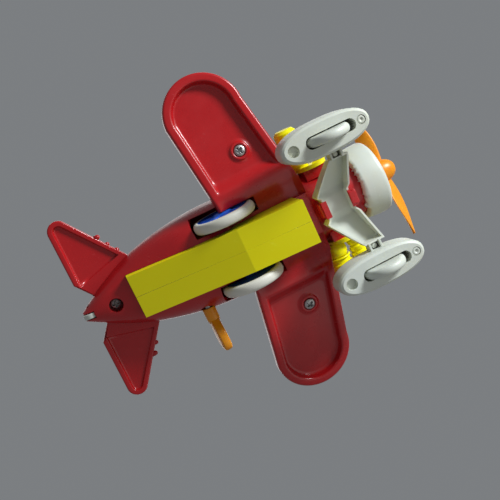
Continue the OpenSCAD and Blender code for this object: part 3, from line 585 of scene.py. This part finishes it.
# (inset, height, root line, root corner) from the top skin round the rim to the recess floor
PANEL_RINGS = (
    (2.2, WING_T, 20.5, 0.1), (0.9, WING_T - 0.12, 20.4, 0.1), (0.3, WING_T - 0.5, 20.3, 0.1),
    (0.02, WING_T - 1.2, 20.2, 0.1), (0.0, 1.5, 20.2, 0.1), (0.1, 0.85, 20.2, 0.1),
    (0.4, 0.35, 20.2, 0.1), (0.85, 0.08, 20.2, 0.1), (1.4, 0.0, 20.2, 0.1),
    (RIM - 1.3, 0.0, 27.2, 0.8), (RIM - 0.7, 0.1, 27.9, 1.0), (RIM - 0.3, 0.4, 28.6, 1.2),
    (RIM - 0.05, 0.9, 29.3, 1.4), (RIM + 0.15, FLOOR_Z - 1.5, 31.4, 1.7),
    (RIM + 0.45, FLOOR_Z - 0.6, 32.6, 2.0), (RIM + 1.0, FLOOR_Z - 0.15, 33.6, 2.2),
    (RIM + 1.9, FLOOR_Z, 34.6, 2.2),
)
BOSS = (
    (0, FLOOR_Z + 0.6), (7.4, FLOOR_Z + 0.3), (6.2, FLOOR_Z - 0.02), (5.3, FLOOR_Z - 0.15),
    (4.7, FLOOR_Z - 0.5), (4.4, FLOOR_Z - 0.95), (4.0, FLOOR_Z - 1.15), (3.3, FLOOR_Z - 1.12),
    (3.05, FLOOR_Z - 0.8), (3.0, FLOOR_Z + 0.9), (0, FLOOR_Z + 0.9),
)


def scoop(x, y):
    """How far the belly side of the wing is hollowed between its ridge and the gearbox."""
    inward = share((RIDGE_Y - abs(y)) / 13.0)
    front = share((HOLLOW_FRONT_X - x) / 2.6)
    back = share((x - HOLLOW_BACK_X) / 5.0)
    ease = inward * inward * (3 - 2 * inward)
    return HOLLOW_DEPTH * ease * front * (2 - front) * back * (2 - back)


def belly_z(y):
    """Height of the wing's lower face."""
    return WING_Z + max(0, abs(y) - ROOT_Y) * math.tan(DIHEDRAL)


def hollow_belly(bm):
    """Cuts the belly face into strips and lifts them into the hollow."""
    for axis, places in ((1, range(-RIDGE_Y, RIDGE_Y + 1)), (0, HOLLOW_CUTS_X)):
        for place in places:
            co, no = [0, 0, 0], [0, 0, 0]
            co[axis], no[axis] = place, 1
            faces = [
                f for f in bm.faces
                if min(v.co[axis] for v in f.verts) < place < max(v.co[axis] for v in f.verts)
            ]
            parts = {e for f in faces for e in f.edges} | {v for f in faces for v in f.verts} | set(faces)
            bmesh.ops.bisect_plane(bm, geom=list(parts), dist=1e-4, plane_co=co, plane_no=no)
    for vert in bm.verts:
        x, y, z = vert.co
        at_root = abs(y) < 20.8 and z < WING_Z + 2.5
        if abs(y) < RIDGE_Y and (z < belly_z(y) + 0.3 or at_root):
            vert.co.z += scoop(x, y)


def wing_panel(name, side):
    bm = bmesh.new()
    rings = [panel_ring(*ring) for ring in PANEL_RINGS]
    skin(bm, [[raise_panel(p, side) for p in ring] for ring in rings])
    hollow_belly(bm)
    start = len(bm.verts)
    turned(bm, BOSS, Matrix.Translation((0, SCREW_Y, 0)))
    bm.verts.ensure_lookup_table()
    for vert in bm.verts[start:]:
        vert.co = raise_panel(vert.co, side)
    made(name, bm, "airframe", "red", "lower_wing")


wing_panel("lower_panel_left", 1)
wing_panel("lower_panel_right", -1)


def belly_cutter(side):
    """Everything below the hollow, for the pieces that meet beside the gearbox."""
    bm = bmesh.new()
    widths = [10.6 + 0.65 * k for k in range(18)]
    rings = []
    for i in range(29):
        x = -21.4 + 41.2 * i / 28
        top = [(x, side * y, belly_z(y) + scoop(x, y)) for y in widths]
        rings.append(top + [(x, side * widths[-1], -40), (x, side * widths[0], -40)])
    skin(bm, rings)
    return bm


def wing_centre():
    """The lower wing's stretch between the two panels."""
    bm = copy_of("lower_wing")
    for side in (-1, 1):
        cut = bmesh.ops.bisect_plane(
            bm, geom=bm.verts[:] + bm.edges[:] + bm.faces[:], dist=1e-7,
            plane_co=(0, side * CENTRE_Y / 1000, 0), plane_no=(0, side, 0), clear_outer=True,
        )
        edges = [g for g in cut["geom_cut"] if isinstance(g, bmesh.types.BMEdge)]
        bmesh.ops.edgeloop_fill(bm, edges=edges)
    bm = carve(bm, [belly_cutter(1), belly_cutter(-1)])
    soften(bm, 0.00025)
    finish_piece(piece_from("wing_centre", bm), "airframe", "red", "lower_wing")


wing_centre()


# ---- Screws ----------------------------------------------------------


SCREW_R = 2.75
TAIL_SCREW_X = -85.5


def screw_head(place):
    """A domed head with a crossed recess, from a fine polar grid of heights."""
    bm = bmesh.new()
    rings, spokes = 30, 96
    grid = []
    for i in range(1, rings + 1):
        rho = SCREW_R * i / rings
        row = []
        for a in turns(spokes):
            x, y = rho * math.cos(a), rho * math.sin(a)
            dome = 1.25 * math.sqrt(max(0, 1 - (rho / (SCREW_R * 1.04)) ** 2)) ** 0.8
            beside_arm, along_arm = sorted((abs(x), abs(y)))
            arm = share((0.6 - beside_arm) / 0.12) * share((1.8 - along_arm) / 0.3)
            row.append(bm.verts.new((x, y, dome - 1.9 * arm)))
        grid.append(row)
    middle = bm.verts.new((0, 0, -0.6))
    for j in range(spokes):
        bm.faces.new((grid[0][j], grid[0][(j + 1) % spokes], middle))
    grid.append([bm.verts.new((v.co.x, v.co.y, -1.2)) for v in grid[-1]])
    bridge(bm, grid)
    bm.faces.new(grid[-1])
    bmesh.ops.transform(bm, matrix=place, verts=bm.verts)
    return bm


for side, name in SIDES:
    foot = raise_panel((0, SCREW_Y, FLOOR_Z - 0.85), side)
    tilt = Matrix.Rotation(math.pi + side * DIHEDRAL, 4, "X")
    place = Matrix.Translation(foot) @ tilt @ Matrix.Rotation(0.5, 4, "Z")
    made("wing_screw_" + name, screw_head(place), "airframe", "steel", "wing_screws", even=False)
place = Matrix.Translation((TAIL_SCREW_X, 0, 2.4)) @ Matrix.Rotation(math.pi, 4, "X")
made("tail_screw_head", screw_head(place), "airframe", "steel", "tail_screw", even=False)

# ---- Wheels ----------------------------------------------------------

MAIN = (-20.8, -12.4)
FRONT = (34.3, -39.6)


def across(x, z, side=1):
    """The place of a turned shape whose axis runs along y on one side."""
    tilt = Matrix.Rotation(math.radians(-90 * side), 4, "X")
    return Matrix.Translation((x, 0, z)) @ tilt


def ring_profile(bore, radius, y0, y1, bulge):
    """A wheel's rim, rounded across its tread."""
    middle, half = (y0 + y1) / 2, (y1 - y0) / 2
    points = [(bore, y0)]
    for degrees in range(-90, 91, 18):
        a = math.radians(degrees)
        points.append((radius - bulge + bulge * max(0, math.cos(a)) ** 0.8, middle + half * math.sin(a)))
    return points + [(bore, y1)]


HUB_R = 13.4
RIB_SECTIONS = ((-3.5, 0.3, 0.05), (-3.2, 0.6, 0.4), (0.0, 0.75, 0.55), (3.2, 0.6, 0.4), (3.5, 0.3, 0.05))
RIB_PLACE = Matrix.Translation((8.3, 0, 18.72))
for side, name in SIDES:
    bm = bmesh.new()
    hoop(bm, ring_profile(HUB_R - 0.4, 15.9, 14.2, 19.4, 2.0), across(*MAIN, side))
    made("tyre_ring_" + name, bm, "drive_wheels", "tyre", "main_tyre_" + name)
    bm = bmesh.new()
    hoop(bm, [
        (1.52, 13.2), (3.4, 13.2), (3.4, 14.7), (12.4, 14.8), (HUB_R, 15.2), (HUB_R, 19.0), (13.1, 19.25),
        (12.6, 19.2), (12.2, 18.8), (11.6, 18.5), (8.6, 18.75), (5.4, 18.9), (4.9, 19.1), (4.4, 19.6),
        (3.6, 19.8), (2.2, 19.8), (1.52, 19.7),
    ], across(*MAIN, side))
    made("hub_dish_" + name, bm, "drive_wheels", "blue", "main_hub_" + name)
    bm = bmesh.new()
    hoop(bm, ring_profile(1.06, 10.6, 31.3, 35.9, 2.2), across(*FRONT, side))
    made("front_roller_" + name, bm, "front_wheel_" + name, "cream", "front_wheel_" + name)

for side, name in SIDES:
    rib = bmesh.new()
    skin(rib, [
        [(x, -half, -0.4), (x, half, -0.4), (x, half, top * 0.6), (x, half * 0.5, top),
         (x, -half * 0.5, top), (x, -half, top * 0.6)]
        for x, half, top in RIB_SECTIONS
    ])
    places = [
        across(*MAIN, side) @ Matrix.Rotation(math.radians(72 * k + 20), 4, "Z") @ RIB_PLACE for k in range(5)
    ]
    repeated("hub_ribs_" + name, rib, places, "drive_wheels", "blue")

# ---- Propeller -------------------------------------------------------


def blade(bm, turn):
    """One thin blade: flat oval sections, wide past the middle, twisted less towards the tip."""
    place = Matrix.Translation((65.0, 0, 0)) @ Matrix.Rotation(math.radians(turn), 4, "X")
    rings = []
    for i in range(25):
        s = i / 24
        reach = 3.2 + 33.1 * s
        half = (2.4 + 2.3 * math.sin(math.pi * min(1, s * 1.1))) * max(0.05, 1 - s ** 5) ** 0.6
        thick = 1.25 - 0.75 * s
        pitch = math.radians(54 - 20 * s)
        c, d = math.cos(pitch), math.sin(pitch)
        lean = -1.6 * s * s
        ring = []
        for a in turns(20):
            u, v = half * math.cos(a), thick * math.sin(a) + 0.6 * math.cos(a) ** 2
            ring.append(place @ Vector((lean + v * c + u * d, reach, u * c - v * d)))
        rings.append(ring)
    skin(bm, rings)


bm = bmesh.new()
for turn in (-22, 158):
    blade(bm, turn)
dome = [math.pi * i / 32 for i in range(15)]
spinner = [(0, 61.4), (5.3, 61.4), (5.9, 61.7)]
spinner += [(6.2 * math.cos(a) ** 0.85, 63.6 + 8.8 * math.sin(a)) for a in dome]
spinner += [(0.9, 72.25), (0, 72.4)]
turned(bm, spinner, Matrix.Rotation(math.radians(90), 4, "Y"), 56)
made("propeller_moulding", bm, "propeller", "amber", "propeller")

# ---- Cowl ring -------------------------------------------------------

bm = bmesh.new()
steps = 240
rng = np.random.default_rng(7)
wander = np.convolve(rng.normal(0, 1, steps + 20), np.hanning(11) / 3, "same")[:steps]
jag = []
for i in range(steps):
    jag.append(0.5 * wander[i] + 0.12 * rng.normal() + (0.8 if rng.random() < 0.04 else 0))
cowl = [
    (15.05, 48.2), (15.05, 47.0), (15.6, 46.9), (17.6, 47.1), (18.25, 47.6), (18.5, 49.0), (18.9, 53.4),
    (19.0, 57.9), (18.85, 58.9), (18.45, 59.7), (17.8, 60.2), (17.0, 60.4), (16.2, 60.2), (15.7, 59.6),
    (15.6, 58.4), (16.4, 55.4), (16.6, 49.6), (15.1, 49.4),
]
RAGGED = {1: 1, 2: 1, 3: 1, 4: 0.4}  # how much of the jag the rings at the rear edge take
rows = []
for k, (r, x) in enumerate(cowl):
    ragged = RAGGED.get(k, 0)
    rows.append([
        bm.verts.new((x - ragged * notch, r * math.cos(a), r * math.sin(a)))
        for notch, a in zip(jag, turns(steps))
    ])
bridge(bm, rows + rows[:1])
made("cowl_moulding", bm, "airframe", "cream", "cowl_ring", even=False)

# ---- Winding key -----------------------------------------------------

KEY = (-46, -3.4)
bm = bmesh.new()
turned(bm, [(0, 21.6), (3.3, 21.6), (3.3, 27.6), (2.9, 29.4), (0, 29.6)], across(*KEY), 40)
sections = []
for y, half, thick in (
    (27.6, 2.4, 1.5), (28.0, 3.0, 2.2), (29.5, 4.6, 2.45), (31.5, 7.0, 2.5), (33.5, 9.0, 2.55),
    (35.5, 9.9, 2.6), (39.0, 10.0, 2.65), (41.5, 9.6, 2.6), (43.0, 8.6, 2.3), (43.7, 7.4, 1.7),
    (43.9, 6.2, 0.9),
):
    ring = []
    for a in turns(40):
        c, d = math.cos(a), math.sin(a)
        x = KEY[0] + thick * math.copysign(abs(c) ** 0.35, c)
        ring.append((x, y, KEY[1] + half * math.copysign(abs(d) ** 0.75, d)))
    sections.append(ring)
skin(bm, sections)
made("key_moulding", bm, "winding", "amber", "winding_key")

# ---- Tailplane -------------------------------------------------------


TAIL_FRONT = -69.5
TAIL_BACK = -100
TAIL_TIP = (-94.6, 43.2, 5.4)  # x, y and radius of the rounded tip
BESIDE_SLOPE = 0.278  # how fast the recess's inner edge runs away from the fuselage


def beside(x, off):
    """The recess's inner edge at x, moved out by off."""
    return 24 + (x + 60) * BESIDE_SLOPE + off


def tail_ring(d, z, off=None):
    """Outline of one half drawn in by d; with off, cut along a line beside the fuselage."""
    x, y, r = TAIL_TIP
    front, back = TAIL_FRONT - d, TAIL_BACK + d
    bend = bend_arc(x, y, r - d, 42, 180, 16)
    if off is None:
        ring = [(front, 18)] + bend + [(back, 16), (-94 + d, 8), (-94 + d, 0.4), (front, 0.4)]
    else:
        bx, by = bend[0]
        t = (beside(front, off) - 18) / ((by - 18) - BESIDE_SLOPE * (bx - front))
        x0, y0 = front + t * (bx - front), 18 + t * (by - 18)
        x1, y1 = back, beside(back, off)
        edge = [(x1 + (x0 - x1) * k / 4, y1 + (y0 - y1) * k / 4) for k in (1, 2, 3)]
        ring = [(x0, y0)] + bend + [(x1, y1)] + edge
    return [(x, y, z) for x, y in ring]


TAIL_RINGS = (
    (1.6, 9.9), (0.5, 9.75), (0.1, 9.3), (0, 8.6), (0, 7.6), (0.15, 7.15), (0.5, 6.95), (1.0, 6.9),
    (2.2, 6.9, 0), (2.5, 7.0, 0.3), (2.7, 7.3, 0.5), (2.9, 7.9, 0.9), (3.3, 8.35, 1.5), (4.0, 8.5, 2.4),
)
for side, name in SIDES:
    bm = bmesh.new()
    skin(bm, [[(x, side * y, z) for x, y, z in tail_ring(*ring)] for ring in TAIL_RINGS])
    made("tail_panel_" + name, bm, "airframe", "red", "tailplane")
nubs = [(-80.4, -32.6), (-77.4, -27.4), (-74.8, -22.8), (-77.6, 28.2), (-80.6, 33.0)]
repeated(
    "tail_nubs", bead(1.25, 2.4),
    [Matrix.Translation((x, y, 8.3)) @ Matrix.Rotation(math.radians(90), 4, "Y") for x, y in nubs],
    "airframe", "red", size=1.0, wobble=0.12, seed=4,
)

# ---- Landing gear strut ----------------------------------------------

STRUT = (  # y, rear x, front x, rim z, depth, how far the rear wall is cut down
    (0.0, 23.2, 37.4, -25.6, 5.9, 2.0), (3.9, 23.2, 37.4, -25.6, 5.9, 2.0),
    (4.1, 23.1, 37.4, -25.6, 5.9, 0.9), (5.2, 22.8, 37.5, -25.7, 6.2, 0.7),
    (5.5, 22.4, 37.7, -25.8, 6.4, 0.0), (6.9, 21.0, 38.8, -26.6, 7.6, 0.0),
    (8.2, 21.6, 39.0, -27.35, 8.0, 0.0), (15.0, 26.2, 40.2, -31.3, 7.6, 0.0),
    (20.4, 30.0, 41.2, -34.4, 6.6, 0.0), (21.2, 30.6, 41.3, -34.9, 6.4, 0.0),
)
WALL = 1.0


def strut_section(y, x0, x1, rim, depth, cut, side, end=False):
    floor = rim + (0.05 if end else depth - 0.9)
    points = (
        (x1, rim), (x1 - WALL, rim), (x1 - WALL - 0.15, floor), (x0 + WALL + 0.15, floor),
        (x0 + WALL, rim + cut), (x0, rim + cut), (x0 - 0.1, rim + depth), (x1 + 0.1, rim + depth),
    )
    return [(x, side * y, z) for x, z in points]


bm = bmesh.new()
port = [strut_section(*row, 1) for row in STRUT] + [
    strut_section(21.25, 30.6, 41.3, -34.9, 6.4, 0.0, 1, end=True),
    strut_section(22.1, 31.1, 41.4, -35.4, 6.2, 0.0, 1, end=True),
]
starboard = [[(x, -y, z) for x, y, z in ring] for ring in port[:0:-1]]
skin(bm, starboard + port)
rounded("strut_channel", bm, "airframe", "cream", 0.22, "gear_strut", angle=40, steps=2)

SOCKET_PIN = [(0, -31.0), (1.3, -31.0), (1.3, -34.6), (0.9, -34.9), (0, -34.9)]
for side, name in SIDES:
    bm = bmesh.new()
    y0, y1 = sorted((side * 21.6, side * 26.2))
    block(bm, 32.2, 33.3, y0, y1, -36.6, -30.6)
    block(bm, 37.6, 38.7, y0, y1, -36.6, -30.6)
    block(bm, 32.2, 38.7, y0, y1, -31.9, -30.6)
    turned(bm, SOCKET_PIN, Matrix.Translation((35.4, side * 23.7, 0)), 28)
    rounded("strut_socket_" + name, bm, "airframe", "cream", 0.18)
bm = bmesh.new()
block(bm, 37.7, 39.8, -3.7, 3.7, -27.2, -19.2)
block(bm, 35.9, 39.8, -3.3, 3.3, -27.3, -25.9)
block(bm, 21.0, 22.7, -3.7, 3.7, -24.8, -19.2)
block(bm, 21.0, 23.9, -3.4, 3.4, -24.9, -23.8)
rounded("strut_hooks", bm, "airframe", "red", 0.6)

# ---- Spats with deep slots --------------------------------------------


SPAT_Y = 33.6
SLOT_X = 35.2
SLOT_R = 2.95
SLOT_HALF = 9.75  # from the slot's middle to the centre of its rounded end
PEG_X = 50.9
DIMPLE_X = 16
SPAT_BELOW = -44  # a height below the spats, where the cutters start
SLOT_TOP = -29.5
DIMPLE = [(0, SPAT_BELOW), (2.75, SPAT_BELOW), (2.75, -40.4), (2.3, -39.3), (1.2, -38.7), (0, -38.6)]
PEG = [
    (0, -41.3), (0.55, -41.35), (0.75, -41.75), (1.35, -41.85), (1.9, -41.7), (2.05, -41.2), (2.05, -37),
    (0, -37),
]


def slot_cutter(side):
    bm = bmesh.new()
    outline = bend_arc(SLOT_X + SLOT_HALF, SPAT_Y, SLOT_R, -90, 90, 14)
    outline += bend_arc(SLOT_X - SLOT_HALF, SPAT_Y, SLOT_R, 90, 270, 14)
    skin(bm, [[(x, side * y, z) for x, y in outline] for z in (SPAT_BELOW, SLOT_TOP)])
    return bm


def dimple_cutter(side):
    bm = bmesh.new()
    turned(bm, DIMPLE, Matrix.Translation((DIMPLE_X, side * SPAT_Y, 0)), 36)
    return bm


for side, name in SIDES:
    moulded("spat_shell_" + name, 0.0004, cutters=[slot_cutter(side)])
    moulded("spat_cover_" + name, 0.0005, steps=3, cutters=[slot_cutter(side), dimple_cutter(side)])
    bm = bmesh.new()
    turned(bm, PEG, Matrix.Translation((PEG_X, side * SPAT_Y, 0)), 36)
    made("spat_peg_" + name, bm, "airframe", "cream", "spat_pegs")

# ---- Fuselage underside: a deep hole for the tail screw ----------------

bm = bmesh.new()
turned(bm, [(0, -12), (3.5, -12), (3.5, 4.4), (0, 4.4)], Matrix.Translation((TAIL_SCREW_X, 0, 0)), 40)
moulded("fuselage_bottom", PLASTIC_EDGE, cutters=[bm, belly_cutter(1), belly_cutter(-1)])

# ---- Gearbox seam: a dark strip painted as the shadow in the gap where the two halves meet ---

BOX = ((-75.3, -8), (-20, -26.8), (13, -33))  # x, z of the seam's corners
SEAM_INSET = 0.22
middle = sum((Vector(p) for p in BOX), Vector((0, 0))) / len(BOX)
inner = [Vector(p) + (middle - Vector(p)).normalized() * SEAM_INSET for p in BOX]
bm = bmesh.new()
skin(bm, [[(p.x, y, p.y) for p in inner] for y in (-SEAM_INSET, SEAM_INSET)])
# Painted shadow: a dark strip inside the groove stands in for the shade in the gap between the halves
rounded("gearbox_seam", bm, "airframe", "dark", 0.02)

# ---- Engine barrels --------------------------------------------------

for side, name in SIDES:
    ring = bmesh.new()
    hoop(ring, [(4.9, -0.5), (6.1, -0.42), (6.35, 0), (6.1, 0.42), (4.9, 0.5)], Matrix.Identity(4), 48)
    spots = [across(24.5, -6, side) @ Matrix.Translation((0, 0, 28.5 + 3.2 * k)) for k in range(3)]
    repeated("barrel_rings_" + name, ring, spots, "airframe", "yellow", seed=3)

# ---- Wing ribs and seat -----------------------------------------------


def wing_rib():
    """A low rounded strip that lies along the chord."""
    bm = bmesh.new()
    sections = []
    for k in range(13):
        u = -1 + k / 6
        lift = 0.62 * math.sqrt(max(0.0, 1 - u ** 6))
        sections.append([
            (13.2 * u, 0.55 * math.cos(a), lift * math.sin(a) if i in range(1, 6) else -0.3)
            for i, a in enumerate(turns(12))
        ])
    skin(bm, sections)
    return bm


stations = [side * 9 * k for k in range(1, 8) for side in (1, -1)]
ribs = [Matrix.Translation((8.3 - 0.112 * abs(y), y, 43.0)) for y in stations]
repeated("upper_ribs", wing_rib(), ribs, "airframe", "red", wobble=0.01, seed=2)
ribs = []
for side in (1, -1):
    for y in (31, 39, 47, 55, 63, 70):
        foot = raise_panel((-1.5 - 0.144 * (y - 20), y, WING_T), side)
        ribs.append(Matrix.Translation(foot) @ Matrix.Rotation(side * DIHEDRAL, 4, "X"))
repeated("lower_ribs", wing_rib(), ribs, "airframe", "red", size=1.15, wobble=0.01, seed=5)
bm = bmesh.new()
block(bm, -24.4, -22.2, -5.4, 5.4, 11.4, 21.0)
block(bm, -22.6, -13.0, -5.4, 5.4, 11.3, 13.4)
block(bm, -8.2, -7.2, -5.0, 5.0, 12.0, 19.6)
rounded("seat_and_panel", bm, "airframe", "dark", 0.9)

# What is left is the CAD's own shape with rounded edges; the mainspring keeps its mesh
for node in nodes:
    if node in stood_for or node == "mainspring":
        continue
    if node.startswith("gearbox"):
        moulded(node, 0.0005, angle=8, steps=3)
    else:
        moulded(node, STEEL_EDGE if slot_of_node[node] == "steel" else PLASTIC_EDGE)

# ---- Floor, light and camera -----------------------------------------


def pale_floor():
    bm = bmesh.new()
    bmesh.ops.create_grid(bm, x_segments=1, y_segments=1, size=1.5)
    floor = piece_from("floor", bm)
    f = Finish("pale_floor")
    grain = f.noise(90, 4)
    f.set(Base_Color=f.mix(grain, (0.70, 0.70, 0.69), (0.76, 0.76, 0.75)), Roughness=0.85)
    under = f.add("ShaderNodeNewGeometry", out="Backfacing")
    gone = f.tree.nodes.new("ShaderNodeBsdfTransparent")
    choice = f.tree.nodes.new("ShaderNodeMixShader")
    f.put(choice.inputs[0], under)
    f.tree.links.new(f.shader.outputs[0], choice.inputs[1])
    f.tree.links.new(gone.outputs[0], choice.inputs[2])
    f.tree.links.new(choice.outputs[0], f.output.inputs["Surface"])
    floor.data.materials.append(f.material)
    floor.location.z = -0.0002
    for ray in ("visible_shadow", "visible_diffuse", "visible_glossy"):
        setattr(floor, ray, False)


pale_floor()

bpy.context.scene.view_settings.view_transform = "Standard"
world = bpy.data.worlds.new("pale_room")
bpy.context.scene.world = world
world.use_nodes = True
sky = world.node_tree.nodes["Background"]
sky.inputs["Color"].default_value = (0.80, 0.84, 0.88, 1)
sky.inputs["Strength"].default_value = 0.25

# Camera: the maker's axes of its right, down and forward directions
VIEW_RIGHT = (0.884, 0.415, -0.2154)
VIEW_DOWN = (-0.4451, 0.8879, -0.116)
VIEW_AHEAD = (0.1431, 0.1984, 0.9696)
VIEW_FROM = (-71.0, -72.72, -383.84)
LENS = 56.76
right, down, ahead = (TURN @ Vector(v) for v in (VIEW_RIGHT, VIEW_DOWN, VIEW_AHEAD))
ahead = ahead.normalized()
down = (down - down.dot(ahead) * ahead).normalized()
right = down.cross(ahead)
view = Matrix((right, -down, -ahead)).transposed().to_4x4()
view.translation = AIRFRAME @ Vector(VIEW_FROM)
camera = bpy.data.objects.new("camera", bpy.data.cameras.new("camera"))
bpy.context.scene.collection.objects.link(camera)
camera.matrix_world = view
camera.data.lens = LENS
camera.data.sensor_width = 36
camera.data.clip_start = 0.01
camera.data.clip_end = 20
bpy.context.scene.camera = camera
target = AIRFRAME @ Vector((-10, 0, -10))


def soft_light(name, power, size, colour, aside, up, back):
    """An area light placed by its offset from the toy: aside, upwards and towards the camera."""
    lamp = bpy.data.lights.new(name, "AREA")
    lamp.energy = power
    lamp.size = size
    lamp.color = colour
    light = bpy.data.objects.new(name, lamp)
    place = target + right * aside - down * up - ahead * back
    light.location = place
    light.rotation_mode = "QUATERNION"
    light.rotation_quaternion = (target - place).to_track_quat("-Z", "Y")
    bpy.context.scene.collection.objects.link(light)


soft_light("window", 8.0, 0.2, (0.92, 0.97, 1.0), 0.47, 0.58, 0.32)
soft_light("room", 0.35, 0.5, (1.0, 0.97, 0.92), 0.45, -0.12, 0.34)
soft_light("overhead", 2.0, 0.9, (1.0, 0.99, 0.97), -0.1, 0.1, -0.8)
